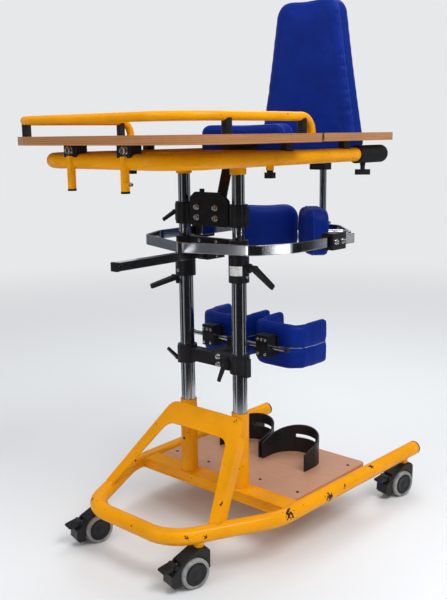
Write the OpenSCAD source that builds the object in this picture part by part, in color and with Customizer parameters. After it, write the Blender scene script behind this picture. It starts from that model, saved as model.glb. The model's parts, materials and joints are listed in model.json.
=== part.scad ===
// Standing frame on castors: bent tube base, two telescopic masts, table with rail,
// hip ring with pads, backrest, chest pad and knee pads. Millimetres, +Z up, +X to the
// right seen from the front, +Y towards the open rear end. The floor is at Z = 0.

/* [Base] */
// Outer diameter of the base tube
tube_d = 40; // [34:1:50]
// Wall of the base tube
tube_wall = 2.5; // [1.5:0.5:4]
// Half the distance between the corners of the front bar
front_half = 141; // [120:1:180]
// Distance from the mast line forward to the front bar
front_bar_y = 312; // [280:1:360]
// Half the width of the base at the bend in its sides
knee_half = 269; // [250:1:300]
// Distance from the mast line forward to the bend in the sides
knee_bend_y = 58; // [40:1:90]
// Half the width of the base at its rear ends
leg_half = 282; // [270:1:310]
// Distance from the mast line back to the ends of the legs
leg_y = 569; // [520:1:640]
// Bend radius of the front corners
corner_r = 100; // [80:5:130]
// Bend radius where the sides turn into the legs
knee_bend_r = 160; // [120:10:220]
// Thickness of the head of the plugs in the leg ends
plug_head = 5; // [3:1:8]
// Width of the cross bar, front to back
cross_w = 50; // [46:1:60]
// Height of the cross bar
cross_h = 25; // [20:1:32]
// Thickness of the straps under the footplate
strap_t = 4; // [3:1:6]
// Width of the straps under the footplate
strap_w = 40; // [25:1:60]

/* [Castors] */
// Diameter of the wheels
wheel_d = 75; // [65:1:85]
// Width of one wheel
wheel_w = 20; // [16:1:24]
// Gap between the two wheels of a castor
wheel_gap = 14; // [13:0.5:18]
// Distance from the swivel axis back to the axle
castor_trail = 24; // [18:1:30]
// Height of the castor from the floor to its shoulder
castor_h = 92; // [88:1:100]
// Length of the boss between the castor and the tube
boss_h = 8; // [4:1:16]
// Diameter of the swivel stem
stem_d = 11; // [9:0.5:14]
// Diameter of the axle
axle_d = 8; // [6:0.5:10]
// Angle that the castors have turned to
castor_turn = 13.7; // [-30:0.1:30]
// Distance from the mast line forward to the front castors
castor_front_y = 247; // [220:1:270]
// Distance from the mast line back to the rear castors
castor_rear_y = 515; // [440:1:516]

/* [Gusset and footplate] */
// Thickness of the gusset plate
gusset_t = 4; // [3:0.5:6]
// Height of the top edge of the gusset above the floor
gusset_top_z = 331; // [315:1:336]
// Distance from the mast line forward to the feet of the gusset
gusset_foot_y = 205; // [185:1:225]
// Half the width of the gusset at its top
gusset_top_half = 128; // [118:1:136]
// Half the width of the gusset across its feet
gusset_foot_half = 202; // [196:1:208]
// Width of a leg of the gusset at its foot
gusset_leg_w = 28; // [22:1:34]
// Depth of the band across the top of the gusset
gusset_band = 62; // [50:1:75]
// Depth of the folded flanges of the gusset
gusset_flange = 26; // [16:1:34]
// Thickness of the footplate
foot_t = 12; // [8:1:16]
// Half the width of the footplate
foot_half = 245; // [225:1:246]
// Length of the footplate
foot_len = 334; // [300:1:380]
// Clearance between the cross bar and the footplate
foot_gap = 2; // [1:0.5:6]
// Height of the footplate's top above the floor
foot_top_z = 130; // [124:1:136]

/* [Heel cups] */
// Outer radius of a heel cup
cup_r = 77; // [60:1:78]
// Wall of a heel cup
cup_wall = 4; // [3:0.5:6]
// Length of the straight arms of a heel cup
cup_arm = 42; // [10:1:50]
// Height of a heel cup at the heel
cup_h = 84; // [70:1:110]
// Height of a heel cup at the front of its arms
cup_front_h = 48; // [36:1:60]
// Distance from the middle of the base to a heel cup
cup_x = 81; // [80:1:100]
// Distance from the mast line back to the heels
cup_heel_y = 313; // [290:1:330]

/* [Masts] */
// Distance between the two masts
mast_gap = 186; // [176:1:200]
// Outer diameter of the inner mast tubes
inner_mast_d = 32; // [30:0.5:34]
// Wall of the inner mast tubes
inner_mast_wall = 2.5; // [1.5:0.5:4]
// Sliding clearance round the inner mast tubes
slide_gap = 0.3; // [0.2:0.05:0.4]
// Wall of the outer mast tubes
outer_mast_wall = 2.7; // [2:0.1:3.5]
// Wall of the sockets that hold the masts
socket_wall = 3.5; // [2.5:0.5:5]
// Height of the socket tops above the floor
socket_top_z = 340; // [338:1:350]
// Height of the outer mast tops above the floor
outer_top_z = 735; // [730:1:745]
// Wall of the clamp collars on the masts
collar_wall = 7; // [5:0.5:9]
// Height of the mast collars
collar_h = 68; // [60:1:76]
// Length of the mast collar above the outer mast
collar_lip = 15; // [10:1:20]
// Length of the inner masts left inside the outer masts
mast_overlap = 305; // [200:1:380]
// Length of a collar lever
lever_len = 68; // [60:1:76]

/* [Table] */
// Height of the tray's top above the floor
tray_top_z = 1046; // [1040:1:1060]
// Thickness of the tray
tray_t = 20; // [15:1:25]
// Half the width of the tray
tray_half = 330; // [328:1:345]
// Distance from the mast line forward to the tray's front edge
tray_front_y = 405; // [402:1:425]
// Corner radius of the tray's front
tray_r = 140; // [100:5:180]
// Distance from the mast line back to the step in the tray's sides
tray_step_y = 22; // [21:1:32]
// Half the width of the tray across its arms
tray_arm_half = 270; // [262:1:290]
// Distance from the mast line back to the ends of the tray's arms
tray_arm_y = 432; // [400:1:460]
// Half the width of the tray's body cut-out
cutout_half = 178; // [174:1:186]
// Distance from the mast line back to the front of the cut-out
cutout_y = 105; // [90:1:108]
// Diameter of the grab rail
rail_d = 20; // [16:1:24]
// Wall of the grab rail
rail_wall = 2; // [1.5:0.5:3]
// Distance from the tray's edge in to the axis of the rail
rail_inset = 22; // [20:1:30]
// Height of the rail's axis above the tray
rail_h = 37; // [30:1:50]
// Outer diameter of the table frame's tube
frame_d = 35; // [30:1:38]
// Wall of the table frame's tube
frame_wall = 2.5; // [1.5:0.5:4]
// Half the distance between the frame's arms
frame_half = 235; // [225:1:242]
// Distance from the mast line forward to the frame's front bar
frame_front_y = 350; // [330:1:365]
// Distance from the mast line back to the ends of the frame's arms
frame_arm_y = 345; // [325:1:370]
// Bend radius of the frame's corners
frame_r = 95; // [70:5:120]
// Gap between the frame and the underside of the tray
frame_drop = 18; // [12:1:24]
// Distance from the middle to a front socket
front_socket_x = 91; // [80:1:110]
// Outer diameter of the front sockets
front_socket_d = 19; // [17:1:22]
// Length of the front sockets
front_socket_len = 78; // [60:1:90]

/* [Hip ring] */
// Height of the ring's flat bar
ring_h = 25; // [20:1:30]
// Thickness of the ring's flat bar
ring_t = 6; // [4:0.5:8]
// Half the distance between the ring's arms
ring_half = 236; // [226:1:250]
// Distance from the mast line forward to the ring's point
ring_front_y = 115; // [105:1:140]
// Distance from the mast line back to the ends of the ring's arms
ring_arm_y = 296; // [296:1:340]
// Side of the square slide bar
bar_side = 20; // [18:1:24]
// Wall of the slide bar
bar_wall = 2; // [1.5:0.5:3]
// Distance from the mast line forward to the slide bar's end
bar_front_y = 320; // [280:1:360]

/* [Pads] */
// Width of the backrest at its lower edge
back_w = 332; // [300:2:340]
// Width of the backrest at its top
back_top_w = 186; // [160:2:220]
// Height of the backrest
back_h = 427; // [380:1:460]
// Thickness of the backrest
back_t = 60; // [45:1:70]
// Height of the backrest's lower edge above the floor
back_z = 985; // [975:1:1000]
// Width of the chest pad
chest_w = 288; // [260:2:300]
// Height of the chest pad
chest_h = 98; // [90:1:104]
// Thickness of the chest pad
chest_t = 54; // [40:1:60]
// Length of a hip pad
hip_len = 172; // [140:1:180]
// Height of a hip pad
hip_h = 121; // [100:1:130]
// Thickness of a hip pad
hip_t = 62; // [45:1:66]
// Width of a knee pad
knee_w = 182; // [150:1:184]
// Height of a knee pad
knee_h = 120; // [100:1:150]
// Depth of a knee pad from its front to its wings
knee_depth = 134; // [110:1:150]
// Thickness of a knee pad's wall
knee_t = 38; // [30:1:42]
// Distance from the middle to a knee pad
knee_x = 97; // [97:1:110]

/* [Hidden] */
$fn = 48;
fit_gap = 0.1;
pin_gap = 0.05;
eps = 0.5;
yellow = [0.95, 0.62, 0.02];
chrome = [0.75, 0.76, 0.78];
black = [0.07, 0.07, 0.08];
blue = [0.03, 0.12, 0.5];
grey = [0.55, 0.55, 0.53];
ply = [0.72, 0.55, 0.45];
wood = [0.55, 0.34, 0.18];

// The overall box is centred on the origin, so the mast line lies forward of it
mast_y = (tray_front_y - leg_y - plug_head) / 2;
mast_x = mast_gap / 2;

base_z = castor_h + boss_h + tube_d / 2;
tube_bore = tube_d - 2 * tube_wall;
cross_top_z = base_z + cross_h / 2;
foot_y = cross_w / 2 + foot_gap;
foot_bottom_z = foot_top_z - foot_t;

inner_bore_d = inner_mast_d + 2 * slide_gap;
outer_mast_d = inner_bore_d + 2 * outer_mast_wall;
socket_d = outer_mast_d + 2 * fit_gap + 2 * socket_wall;
collar_d = outer_mast_d + 2 * fit_gap + 2 * collar_wall;
collar_top_z = outer_top_z + collar_lip;
collar_z = collar_top_z - collar_h;
lever_z = collar_z + 38;
left_lever_z = collar_z - 12;
lever_bolt_d = 8;

tray_z = tray_top_z - tray_t;
frame_z = tray_z - frame_drop - frame_d / 2;
frame_bore = frame_d - 2 * frame_wall;
mast_head_z = frame_z - frame_d / 2 - 24;
mast_top_z = frame_z - frame_d / 2 - 5;
sleeve_wall = 5.5;
sleeve_d = frame_d + 2 * fit_gap + 2 * sleeve_wall;
sleeve_len = 130;
sleeve_y = frame_arm_y - 45;
knob_y = sleeve_y + 35;
boss_y = -52;
thread_d = 8;
rail_half = tray_half - rail_inset - 3;
rail_front_y = tray_front_y - rail_inset + 6;
rail_z = tray_top_z + rail_h;
rail_end_y = 10 - rail_h;

bar_z = collar_top_z + 2;
ring_z = bar_z + bar_side / 2 + ring_h / 2;
bracket_top_z = ring_z + 13;
ring_path = [
  [ring_half, ring_arm_y], [ring_half, 45], [ring_half - 48, -53], [0, -ring_front_y],
  [48 - ring_half, -53], [-ring_half, 45], [-ring_half, ring_arm_y]
];
ring_radii = [0, 80, 45, 40, 45, 80, 0];
clamp_y = 185;
clamp_len = 58;
clamp_w = 36;
clamp_h = 42;
rear_half = ring_half - clamp_w + 12 - ring_t / 2;
rear_y = 440;
rear_path = [
  [rear_half, clamp_y], [rear_half, rear_y - 115], [rear_half - 115, rear_y],
  [115 - rear_half, rear_y], [-rear_half, rear_y - 115], [-rear_half, clamp_y]
];
rear_radii = [0, 40, 40, 40, 40, 0];
post_d = 20;
post_y = 490;
post_top_z = 1180;
post_block = 34;

chest_clamp_z = bar_z + 68;
chest_clamp_h = 56;
chest_collar_d = inner_bore_d + 15;
chest_back_y = 116;
knee_clamp_z = 446;
knee_clamp_h = 48;
knee_collar_d = outer_mast_d + 14;
knee_rod_d = 12;
knee_rod_y = 100;
knee_rod_z = knee_clamp_z + 51;
knee_front_y = knee_rod_y + 30;
knee_pad_z = 433;
knee_rise = 2;

// Places and outlines

module at_mast_line() { translate([0, mast_y, 0]) children(); }

module both_sides() {
  children();
  mirror([1, 0, 0]) children();
}

function heading(a, b) = atan2(b[1] - a[1], b[0] - a[0]);
function signed_turn(a) = a > 180 ? a - 360 : a < -180 ? a + 360 : a;
function unit(v) = v / norm(v);
function ahead(a) = [cos(a), sin(a)];

// Outline with each corner rounded to its own radius
function round_corner(a, b, c, r, n = 8) =
  let (u = unit(a - b), v = unit(c - b), half = acos(u * v) / 2,
       centre = b + unit(u + v) * r / sin(half),
       from = heading(centre, b + u * r / tan(half)),
       to = heading(centre, b + v * r / tan(half)),
       sweep = signed_turn(to - from))
  [for (k = [0 : n]) centre + r * ahead(from + sweep * k / n)];
function rounded(p, r) = [
  for (i = [0 : len(p) - 1])
    each r[i] == 0 ? [p[i]]
      : round_corner(p[(i + len(p) - 1) % len(p)], p[i], p[(i + 1) % len(p)], r[i])
];

// Bar of any section along a flat path of straight runs and round bends
function bend_at(p, i) = signed_turn(heading(p[i], p[i + 1]) - heading(p[i - 1], p[i]));
function trim_at(p, r, i) =
  i == 0 || i == len(p) - 1 ? 0 : r[i] * tan(abs(bend_at(p, i)) / 2);

module straight_run(a, b) {
  translate([a[0], a[1], 0])
    rotate([90, 0, heading(a, b) + 90])
      linear_extrude(norm(b - a)) children();
}

module round_bend(start, from, bend, r) {
  side = bend > 0 ? 1 : -1;
  translate(start + side * r * ahead(from + 90))
    rotate([0, 0, bend > 0 ? from - 90 : from + 90 + bend])
      rotate_extrude(angle = abs(bend)) translate([r, 0]) scale(bend_swell) children();
}

// Each straight run laps into its bends, which are a hair thicker, so that the pieces join
lap = 0.4;
bend_swell = 1.012;

module bent_bar(p, r) {
  for (i = [0 : len(p) - 2]) {
    along = ahead(heading(p[i], p[i + 1]));
    straight_run(p[i] + along * (trim_at(p, r, i) - (i == 0 ? 0 : lap)),
                 p[i + 1] - along * (trim_at(p, r, i + 1) - (i == len(p) - 2 ? 0 : lap)))
      children();
  }
  for (i = [1 : len(p) - 2]) {
    from = heading(p[i - 1], p[i]);
    round_bend(p[i] - ahead(from) * trim_at(p, r, i), from, bend_at(p, i), r[i]) children();
  }
}

// Outline of a flat bar on edge along such a path, half its thickness to either side
function shifted_bend(p, r, i, off) =
  let (from = heading(p[i - 1], p[i]), bend = bend_at(p, i), side = bend > 0 ? 1 : -1,
       start = p[i] - ahead(from) * trim_at(p, r, i), centre = start + side * r[i] * ahead(from + 90))
  [for (k = [0 : 10]) centre - side * (r[i] - side * off) * ahead(from + 90 + bend * k / 10)];
function shifted_path(p, r, off) =
  let (last = len(p) - 1) [
    p[0] + off * ahead(heading(p[0], p[1]) + 90),
    for (i = [1 : last - 1]) each shifted_bend(p, r, i, off),
    p[last] + off * ahead(heading(p[last - 1], p[last]) + 90)
  ];
function reversed(v) = [for (i = [len(v) - 1 : -1 : 0]) v[i]];

module flat_bar(p, r, thickness, height) {
  linear_extrude(height, center = true)
    polygon(concat(shifted_path(p, r, thickness / 2), reversed(shifted_path(p, r, -thickness / 2))));
}

// The same path run out a little past its ends, for a bore
function run_out(p, by) =
  let (last = len(p) - 1) [
    p[0] - by * ahead(heading(p[0], p[1])),
    for (i = [1 : last - 1]) p[i],
    p[last] + by * ahead(heading(p[last - 1], p[last]))
  ];

module cylinder_y(d, from, to) {
  translate([0, from, 0]) rotate([-90, 0, 0]) cylinder(d = d, h = to - from);
}

module cylinder_x(d, from, to) {
  translate([from, 0, 0]) rotate([0, 90, 0]) cylinder(d = d, h = to - from);
}

// Box between two corners
module block(low, high) { translate(low) cube(high - low); }

// Base

base_path = [
  [-leg_half, leg_y], [-knee_half, -knee_bend_y], [-front_half, -front_bar_y],
  [front_half, -front_bar_y], [knee_half, -knee_bend_y], [leg_half, leg_y]
];
base_radii = [0, knee_bend_r, corner_r, corner_r, knee_bend_r, 0];

// Where the axis of the side tube or of the leg lies at a distance behind the mast line
function side_x(y) =
  front_half + (knee_half - front_half) * (y + front_bar_y) / (front_bar_y - knee_bend_y);
function leg_x(y) = knee_half + (leg_half - knee_half) * (y + knee_bend_y) / (leg_y + knee_bend_y);

castor_places = [
  [-side_x(-castor_front_y), -castor_front_y], [side_x(-castor_front_y), -castor_front_y],
  [-leg_x(castor_rear_y), castor_rear_y], [leg_x(castor_rear_y), castor_rear_y]
];

module base_path_solid(d, past = 0) {
  translate([0, 0, base_z]) bent_bar(run_out(base_path, past), base_radii) circle(d = d);
}

module base_tube() {
  color(yellow) at_mast_line() difference() {
    union() {
      base_path_solid(tube_d);
      for (p = castor_places)
        translate([p[0], p[1], castor_h]) cylinder(d = stem_d + 13, h = base_z - castor_h);
    }
    base_path_solid(tube_bore, 1);
    for (p = castor_places)
      translate([p[0], p[1], castor_h - eps])
        cylinder(d = stem_d + 2 * pin_gap, h = base_z - castor_h);
  }
}

module tube_plugs() {
  color(black) at_mast_line() both_sides()
    translate([leg_half, leg_y, base_z])
      rotate([0, 0, heading(base_path[4], base_path[5]) - 90]) {
        cylinder_y(tube_d, 0, plug_head);
        cylinder_y(tube_bore - 2 * fit_gap, -20, 0);
      }
}

module cross_members() {
  reach = leg_half;
  color(yellow) at_mast_line() difference() {
    union() {
      difference() {
        block([-reach, -cross_w / 2, base_z - cross_h / 2], [reach, cross_w / 2, cross_top_z]);
        block([-reach, 2 - cross_w / 2, base_z - cross_h / 2 + 2],
              [reach, cross_w / 2 - 2, cross_top_z - 2]);
      }
      for (y = [foot_y + 30, foot_y + foot_len - 30 - strap_w])
        block([-reach, y, foot_bottom_z - strap_t], [reach, y + strap_w, foot_bottom_z]);
    }
    base_path_solid(tube_d);
    for (side = [-1, 1])
      block([side * reach - tube_d, -front_bar_y, 0], [side * reach + tube_d, -cross_w, base_z]);
    both_sides() block([leg_x(0), -cross_w, 0], [reach + tube_d, leg_y, 2 * base_z]);
  }
}

module mast_sockets() {
  color(yellow) at_mast_line() both_sides()
    translate([mast_x, 0, cross_top_z]) difference() {
      cylinder(d = socket_d, h = socket_top_z - cross_top_z);
      translate([0, 0, -eps])
        cylinder(d = outer_mast_d + 2 * fit_gap, h = socket_top_z - cross_top_z + 2 * eps);
    }
}

// Gusset: a folded plate that leans from the side tubes up to the front of the sockets
gusset_foot_z = base_z + tube_d / 2;
gusset_top_y = -socket_d / 2;
gusset_rise = gusset_top_z - gusset_foot_z;
gusset_run = gusset_top_y + gusset_foot_y;
gusset_len = norm([gusset_rise, gusset_run]);
gusset_lean = atan2(gusset_run, gusset_rise);
gusset_toe = tube_d / 2;

function gusset_edge(v) =
  gusset_foot_half - (gusset_foot_half - gusset_top_half) * v / gusset_len;

module gusset_outline(inset) {
  low = gusset_edge(-gusset_toe) - inset;
  high = gusset_top_half - inset;
  polygon(rounded(
    [[-low, -gusset_toe], [low, -gusset_toe], [high, gusset_len], [-high, gusset_len]],
    [0, 0, 30, 30]));
}

module gusset_arch() {
  low = gusset_edge(-gusset_toe - 1) - gusset_leg_w;
  high = gusset_edge(gusset_len - gusset_band) - gusset_leg_w - 12;
  polygon(rounded(
    [[-low, -gusset_toe - 1], [low, -gusset_toe - 1],
     [high, gusset_len - gusset_band], [-high, gusset_len - gusset_band]],
    [0, 0, 32, 32]));
}

module gusset_plate() {
  color(yellow) at_mast_line() difference() {
    translate([0, -gusset_foot_y, gusset_foot_z]) rotate([90 - gusset_lean, 0, 0]) {
      linear_extrude(gusset_t) difference() {
        gusset_outline(0);
        gusset_arch();
      }
      translate([0, 0, -gusset_flange]) linear_extrude(gusset_flange + 1) difference() {
        gusset_outline(0);
        gusset_outline(gusset_t);
        translate([-gusset_foot_half, gusset_len - 45])
          square([2 * gusset_foot_half, gusset_len]);
      }
    }
    base_path_solid(tube_d);
    both_sides() translate([mast_x, 0, 0]) cylinder(d = socket_d, h = 2 * socket_top_z);
    both_sides() translate([front_half, -front_bar_y, 0])
      rotate([0, 0, heading(base_path[3], base_path[4])])
        block([0, -4 * tube_d, 0], [front_bar_y, 0, base_z + tube_d / 2]);
    block([-leg_half, -front_bar_y, 0], [leg_half, cross_w, base_z]);
  }
}

module footplate() {
  color(ply) at_mast_line() translate([0, 0, foot_bottom_z])
    linear_extrude(foot_t)
      polygon(rounded(
        [[-foot_half, foot_y], [foot_half, foot_y],
         [foot_half, foot_y + foot_len], [-foot_half, foot_y + foot_len]], [6, 6, 10, 10]));
}

module cup_outline(r) {
  circle(r = r);
  translate([-r, -cup_arm]) square([2 * r, cup_arm]);
}

module heel_cup() {
  tilt = atan2(cup_h - cup_front_h, cup_r + cup_arm);
  difference() {
    union() {
      linear_extrude(cup_h) difference() {
        intersection() {
          cup_outline(cup_r);
          translate([-cup_r, -cup_arm]) square([2 * cup_r, cup_arm + cup_r]);
        }
        cup_outline(cup_r - cup_wall);
        translate([-cup_r, -cup_r - cup_arm]) square([2 * cup_r, cup_r]);
      }
      linear_extrude(3) intersection() {
        cup_outline(cup_r - cup_wall / 2);
        translate([-cup_r, -cup_arm]) square([2 * cup_r, cup_arm + cup_r]);
      }
    }
    translate([-2 * cup_r, -cup_arm, cup_front_h]) rotate([tilt, 0, 0])
      cube([4 * cup_r, 4 * cup_r, cup_h]);
    block([-36, 0, cup_h * 0.52], [36, 2 * cup_r, cup_h * 0.52 + 11]);
  }
}

module heel_cups() {
  color(black) at_mast_line() both_sides()
    translate([cup_x, cup_heel_y - cup_r, foot_top_z]) heel_cup();
}

// Castors: the swivel axis is the local Z axis and the wheels trail towards -Y
hood_half = 20;
web_half = wheel_gap / 2 - 1.5;
fender_r = wheel_d / 2 + 2.5;
hood_front = castor_trail - 43;
hood_profile = [
  [hood_front, 40], [hood_front, castor_h - 8], [hood_front + 7, castor_h],
  [14, castor_h], [58, castor_h - 22], [70, castor_h - 34], [86, castor_h - 46],
  [88, 22], [80, 14], [66, 14], [40, 24], [castor_trail, 24], [8, 30]
];
pedal_pivot = [70, castor_h - 30];
pedal_profile = [
  [64, castor_h - 24], [78, castor_h - 24], [104, castor_h - 30], [107, castor_h - 35],
  [101, castor_h - 38], [86, castor_h - 37.5], [74, castor_h - 33.5]
];
pedal_half = 13;
pedal_pin_d = 5;

module castor_at(i) {
  at_mast_line() translate([castor_places[i][0], castor_places[i][1], 0])
    rotate([0, 0, -castor_turn]) children();
}

// Extrudes a side view, drawn as distance along the trail against height
module side_view(width) {
  rotate([0, 0, -90]) rotate([90, 0, 0]) linear_extrude(width, center = true) children();
}

module on_axle() { translate([0, -castor_trail, wheel_d / 2]) children(); }

module castor_hood(i) {
  color(black) castor_at(i) difference() {
    union() {
      side_view(2 * hood_half) difference() {
        polygon(hood_profile);
        translate([castor_trail, wheel_d / 2]) circle(r = fender_r);
      }
      side_view(2 * web_half) polygon(hood_profile);
      side_view(2 * (pedal_half + 5)) translate(pedal_pivot) circle(d = 12);
      translate([0, 0, castor_h - 1]) cylinder(d = stem_d, h = base_z - castor_h - 1);
    }
    on_axle() cylinder_x(axle_d + 2 * pin_gap, -web_half - 1, web_half + 1);
    side_view(2 * (pedal_half + 0.5)) polygon([
      for (p = [[56, 8], [56, -3], [66, -7], [92, -6.5], [92, 8]])
        [p[0], pedal_pivot[1] + p[1]]]);
    side_view(2 * hood_half + 2) translate(pedal_pivot) circle(d = pedal_pin_d + 2 * pin_gap);
  }
}

module wheel_pair(r, bore) {
  for (side = [-1, 1])
    on_axle() translate([side * (wheel_gap + wheel_w) / 2, 0, 0]) rotate([0, 90, 0])
      rotate_extrude() polygon(rounded(
        [[bore, -wheel_w / 2], [r, -wheel_w / 2], [r, wheel_w / 2], [bore, wheel_w / 2]],
        [0, 4, 4, 0]));
}

tyre_r = wheel_d / 2 - 8.5;

module castor_hubs(i) {
  color(black) castor_at(i) {
    wheel_pair(tyre_r - fit_gap, 0);
    on_axle() cylinder_x(axle_d, -wheel_gap / 2 - 1, wheel_gap / 2 + 1);
  }
}

module castor_tyres(i) { color(grey) castor_at(i) wheel_pair(wheel_d / 2, tyre_r); }

module castor_pedal(i) {
  color(black) castor_at(i) {
    side_view(2 * pedal_half) polygon(rounded(pedal_profile, [1.5, 1.5, 2, 2, 2, 2, 1.5]));
    side_view(2 * pedal_half + 10) translate(pedal_pivot) circle(d = pedal_pin_d);
  }
}

// Masts

module tube(d, wall, z0, z1) {
  translate([0, 0, z0]) difference() {
    cylinder(d = d, h = z1 - z0);
    translate([0, 0, -eps]) cylinder(d = d - 2 * wall, h = z1 - z0 + 2 * eps);
  }
}

module outer_masts() {
  color(chrome) at_mast_line() both_sides() translate([mast_x, 0, 0])
    tube(outer_mast_d, outer_mast_wall, cross_top_z, outer_top_z);
}

module inner_masts() {
  color(chrome) at_mast_line() both_sides() translate([mast_x, 0, 0])
    tube(inner_mast_d, inner_mast_wall, outer_top_z - mast_overlap, mast_top_z);
}

module mast_collar(boss) {
  difference() {
    union() {
      translate([0, 0, collar_z]) cylinder(d = collar_d, h = collar_h);
      if (boss > 0) translate([0, 0, lever_z]) cylinder_x(24, collar_d / 2 - 6, collar_d / 2 + boss);
    }
    translate([0, 0, collar_z - eps])
      cylinder(d = outer_mast_d + 2 * fit_gap, h = outer_top_z - collar_z + eps);
    translate([0, 0, collar_z]) cylinder(d = inner_bore_d, h = collar_h + eps);
    if (boss > 0) translate([0, 0, lever_z]) cylinder_x(lever_bolt_d + 2 * pin_gap, 0, collar_d);
  }
}

// The left collar has an ear that hangs beside the mast and carries its lever
module collar_ear() {
  difference() {
    block([collar_d / 2 - 6, -9, left_lever_z - 13], [collar_d / 2 + left_ear, 9, lever_z + 12]);
    translate([0, 0, left_lever_z]) cylinder_x(lever_bolt_d + 2 * pin_gap, 0, collar_d);
  }
}

module mast_collars() {
  color(black) at_mast_line() {
    translate([mast_x, 0, 0]) mast_collar(right_boss);
    mirror([1, 0, 0]) translate([mast_x, 0, 0]) {
      mast_collar(0);
      collar_ear();
    }
  }
}

// Clamping lever on a stud along +X: hub, then an arm that leans outwards
module clamp_lever(stud, length) {
  cylinder_x(lever_bolt_d, -stud, 2);
  cylinder_x(17, 0.5, 20);
  linear_extrude(11, center = true)
    polygon(rounded(
      [[5, -6], [19, -7], [24, 3], [0.3 * length + 22, length - 8], [0.3 * length + 20, length],
       [0.3 * length + 13, length], [0.3 * length + 10, length - 6], [7, 9]],
      [4, 4, 3, 4, 3, 3, 3, 4]));
}

left_ear = 4;
right_boss = 11;
lever_seat = mast_x + collar_d / 2;
lever_stud = collar_d / 2 - outer_mast_d / 2 - 1;
right_lever_angle = -50;
left_lever_angle = -164;

module collar_lever_left() {
  color(black) at_mast_line() mirror([1, 0, 0]) translate([lever_seat + left_ear, 0, left_lever_z])
    rotate([left_lever_angle, 0, 0]) clamp_lever(lever_stud + left_ear, lever_len);
}

module collar_lever_right() {
  color(black) at_mast_line() translate([lever_seat + right_boss, 0, lever_z])
    rotate([right_lever_angle, 0, 0]) clamp_lever(lever_stud + right_boss, lever_len);
}

// Hip support

module hip_bracket() {
  sleeve = bar_side + 14;
  color(black) at_mast_line() difference() {
    union() {
      both_sides() translate([mast_x, 0, collar_top_z])
        cylinder(d = collar_d - 4, h = bracket_top_z - collar_top_z);
      block([-mast_x, -7, collar_top_z], [mast_x, 7, bracket_top_z]);
      block([-sleeve / 2, -32, bar_z - sleeve / 2], [sleeve / 2, 32, bar_z + sleeve / 2]);
    }
    both_sides() translate([mast_x, 0, collar_top_z - eps])
      cylinder(d = inner_bore_d, h = 2 * collar_h);
    translate([0, 0, bar_z])
      cube([bar_side + 2 * slide_gap, 100, bar_side + 2 * slide_gap], center = true);
  }
}

module hip_slide_bar() {
  color(chrome) at_mast_line() translate([0, 0, bar_z]) difference() {
    block([-bar_side / 2, -bar_front_y, -bar_side / 2], [bar_side / 2, 70, bar_side / 2]);
    block([bar_wall - bar_side / 2, -bar_front_y - 1, bar_wall - bar_side / 2],
          [bar_side / 2 - bar_wall, 71, bar_side / 2 - bar_wall]);
  }
}

module hip_bar_cap() {
  plug = bar_side - 2 * bar_wall - 2 * fit_gap;
  color(black) at_mast_line() translate([0, -bar_front_y, bar_z]) {
    translate([0, -4, 0]) cube([bar_side + 1, 8, bar_side + 1], center = true);
    translate([0, 8, 0]) cube([plug, 16, plug], center = true);
  }
}

module hip_ring() {
  color(chrome) at_mast_line() translate([0, 0, ring_z])
    flat_bar(ring_path, ring_radii, ring_t, ring_h);
}

module ring_clamps() {
  outer = ring_half + 12;
  color(black) at_mast_line() both_sides() difference() {
    block([outer - clamp_w, clamp_y, ring_z - clamp_h / 2],
          [outer, clamp_y + clamp_len, ring_z + clamp_h / 2]);
    block([ring_half - ring_t / 2 - slide_gap, 0, ring_z - ring_h / 2 - slide_gap],
          [ring_half + ring_t / 2 + slide_gap, 2 * ring_arm_y, ring_z + ring_h / 2 + slide_gap]);
  }
}

// Hip pads stand at 45 degrees and meet behind the user
hip_angle = 45;
hip_meet_y = 368;
hip_pad_z = 721;
hip_stub_d = 16;
hip_corners = [26, 34];
hip_mid = [hip_len / 2 * cos(hip_angle), hip_meet_y - hip_len / 2 * sin(hip_angle)];

module on_hip_face() {
  translate([hip_mid[0], hip_mid[1], hip_pad_z + hip_h / 2]) rotate([0, 0, -hip_angle]) children();
}

hip_stub_end = (rear_half + rear_y - 115 - hip_mid[0] - hip_mid[1]) / sqrt(2) - ring_t / 2;

module rear_bar() {
  color(chrome) at_mast_line() {
    translate([0, 0, ring_z]) flat_bar(rear_path, rear_radii, ring_t, ring_h);
    both_sides() on_hip_face() translate([0, 0, ring_z - hip_pad_z - hip_h / 2])
      cylinder_y(hip_stub_d, hip_t + fit_gap, hip_stub_end + 1);
  }
}

module backrest_post() {
  color(chrome) at_mast_line() {
    translate([0, post_y, 0]) tube(post_d, 2, ring_z - ring_h, post_top_z);
    difference() {
      block([-post_block / 2, rear_y + ring_t / 2, ring_z - ring_h / 2],
            [post_block / 2, post_y + post_block / 2, ring_z + ring_h / 2]);
      translate([0, post_y, 0]) cylinder(d = post_d, h = post_top_z);
    }
  }
}

// Cushion with a crowned front, drawn-in sides and a flat back.
// It lies in X and Z, with its back at Y = 0 and its crown towards -Y.
pad_sections = [
  [0.93, 0], [0.985, 0.05], [1, 0.16], [1, 0.62], [0.985, 0.74], [0.95, 0.83],
  [0.85, 0.9], [0.6, 0.96], [0.3, 0.99]
];

// Outline of a cushion: rounded corners, with its edges drawn in between them
function drawn_edge(a, b, draw) = [
  for (k = [1 : 4]) let (t = k / 5)
    a + (b - a) * t + draw * 4 * t * (1 - t) * [a[1] - b[1], b[0] - a[0]] / norm(b - a)
];
function pad_outline(low, high, h, r_low, r_high, draw) =
  let (c = [[-low / 2, -h / 2], [low / 2, -h / 2], [high / 2, h / 2], [-high / 2, h / 2]],
       r = [r_low, r_low, r_high, r_high],
       arcs = [for (i = [0 : 3]) round_corner(c[(i + 3) % 4], c[i], c[(i + 1) % 4], r[i], 6)])
  [for (i = [0 : 3]) each concat(arcs[i], drawn_edge(arcs[i][6], arcs[(i + 1) % 4][0], draw))];

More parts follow.
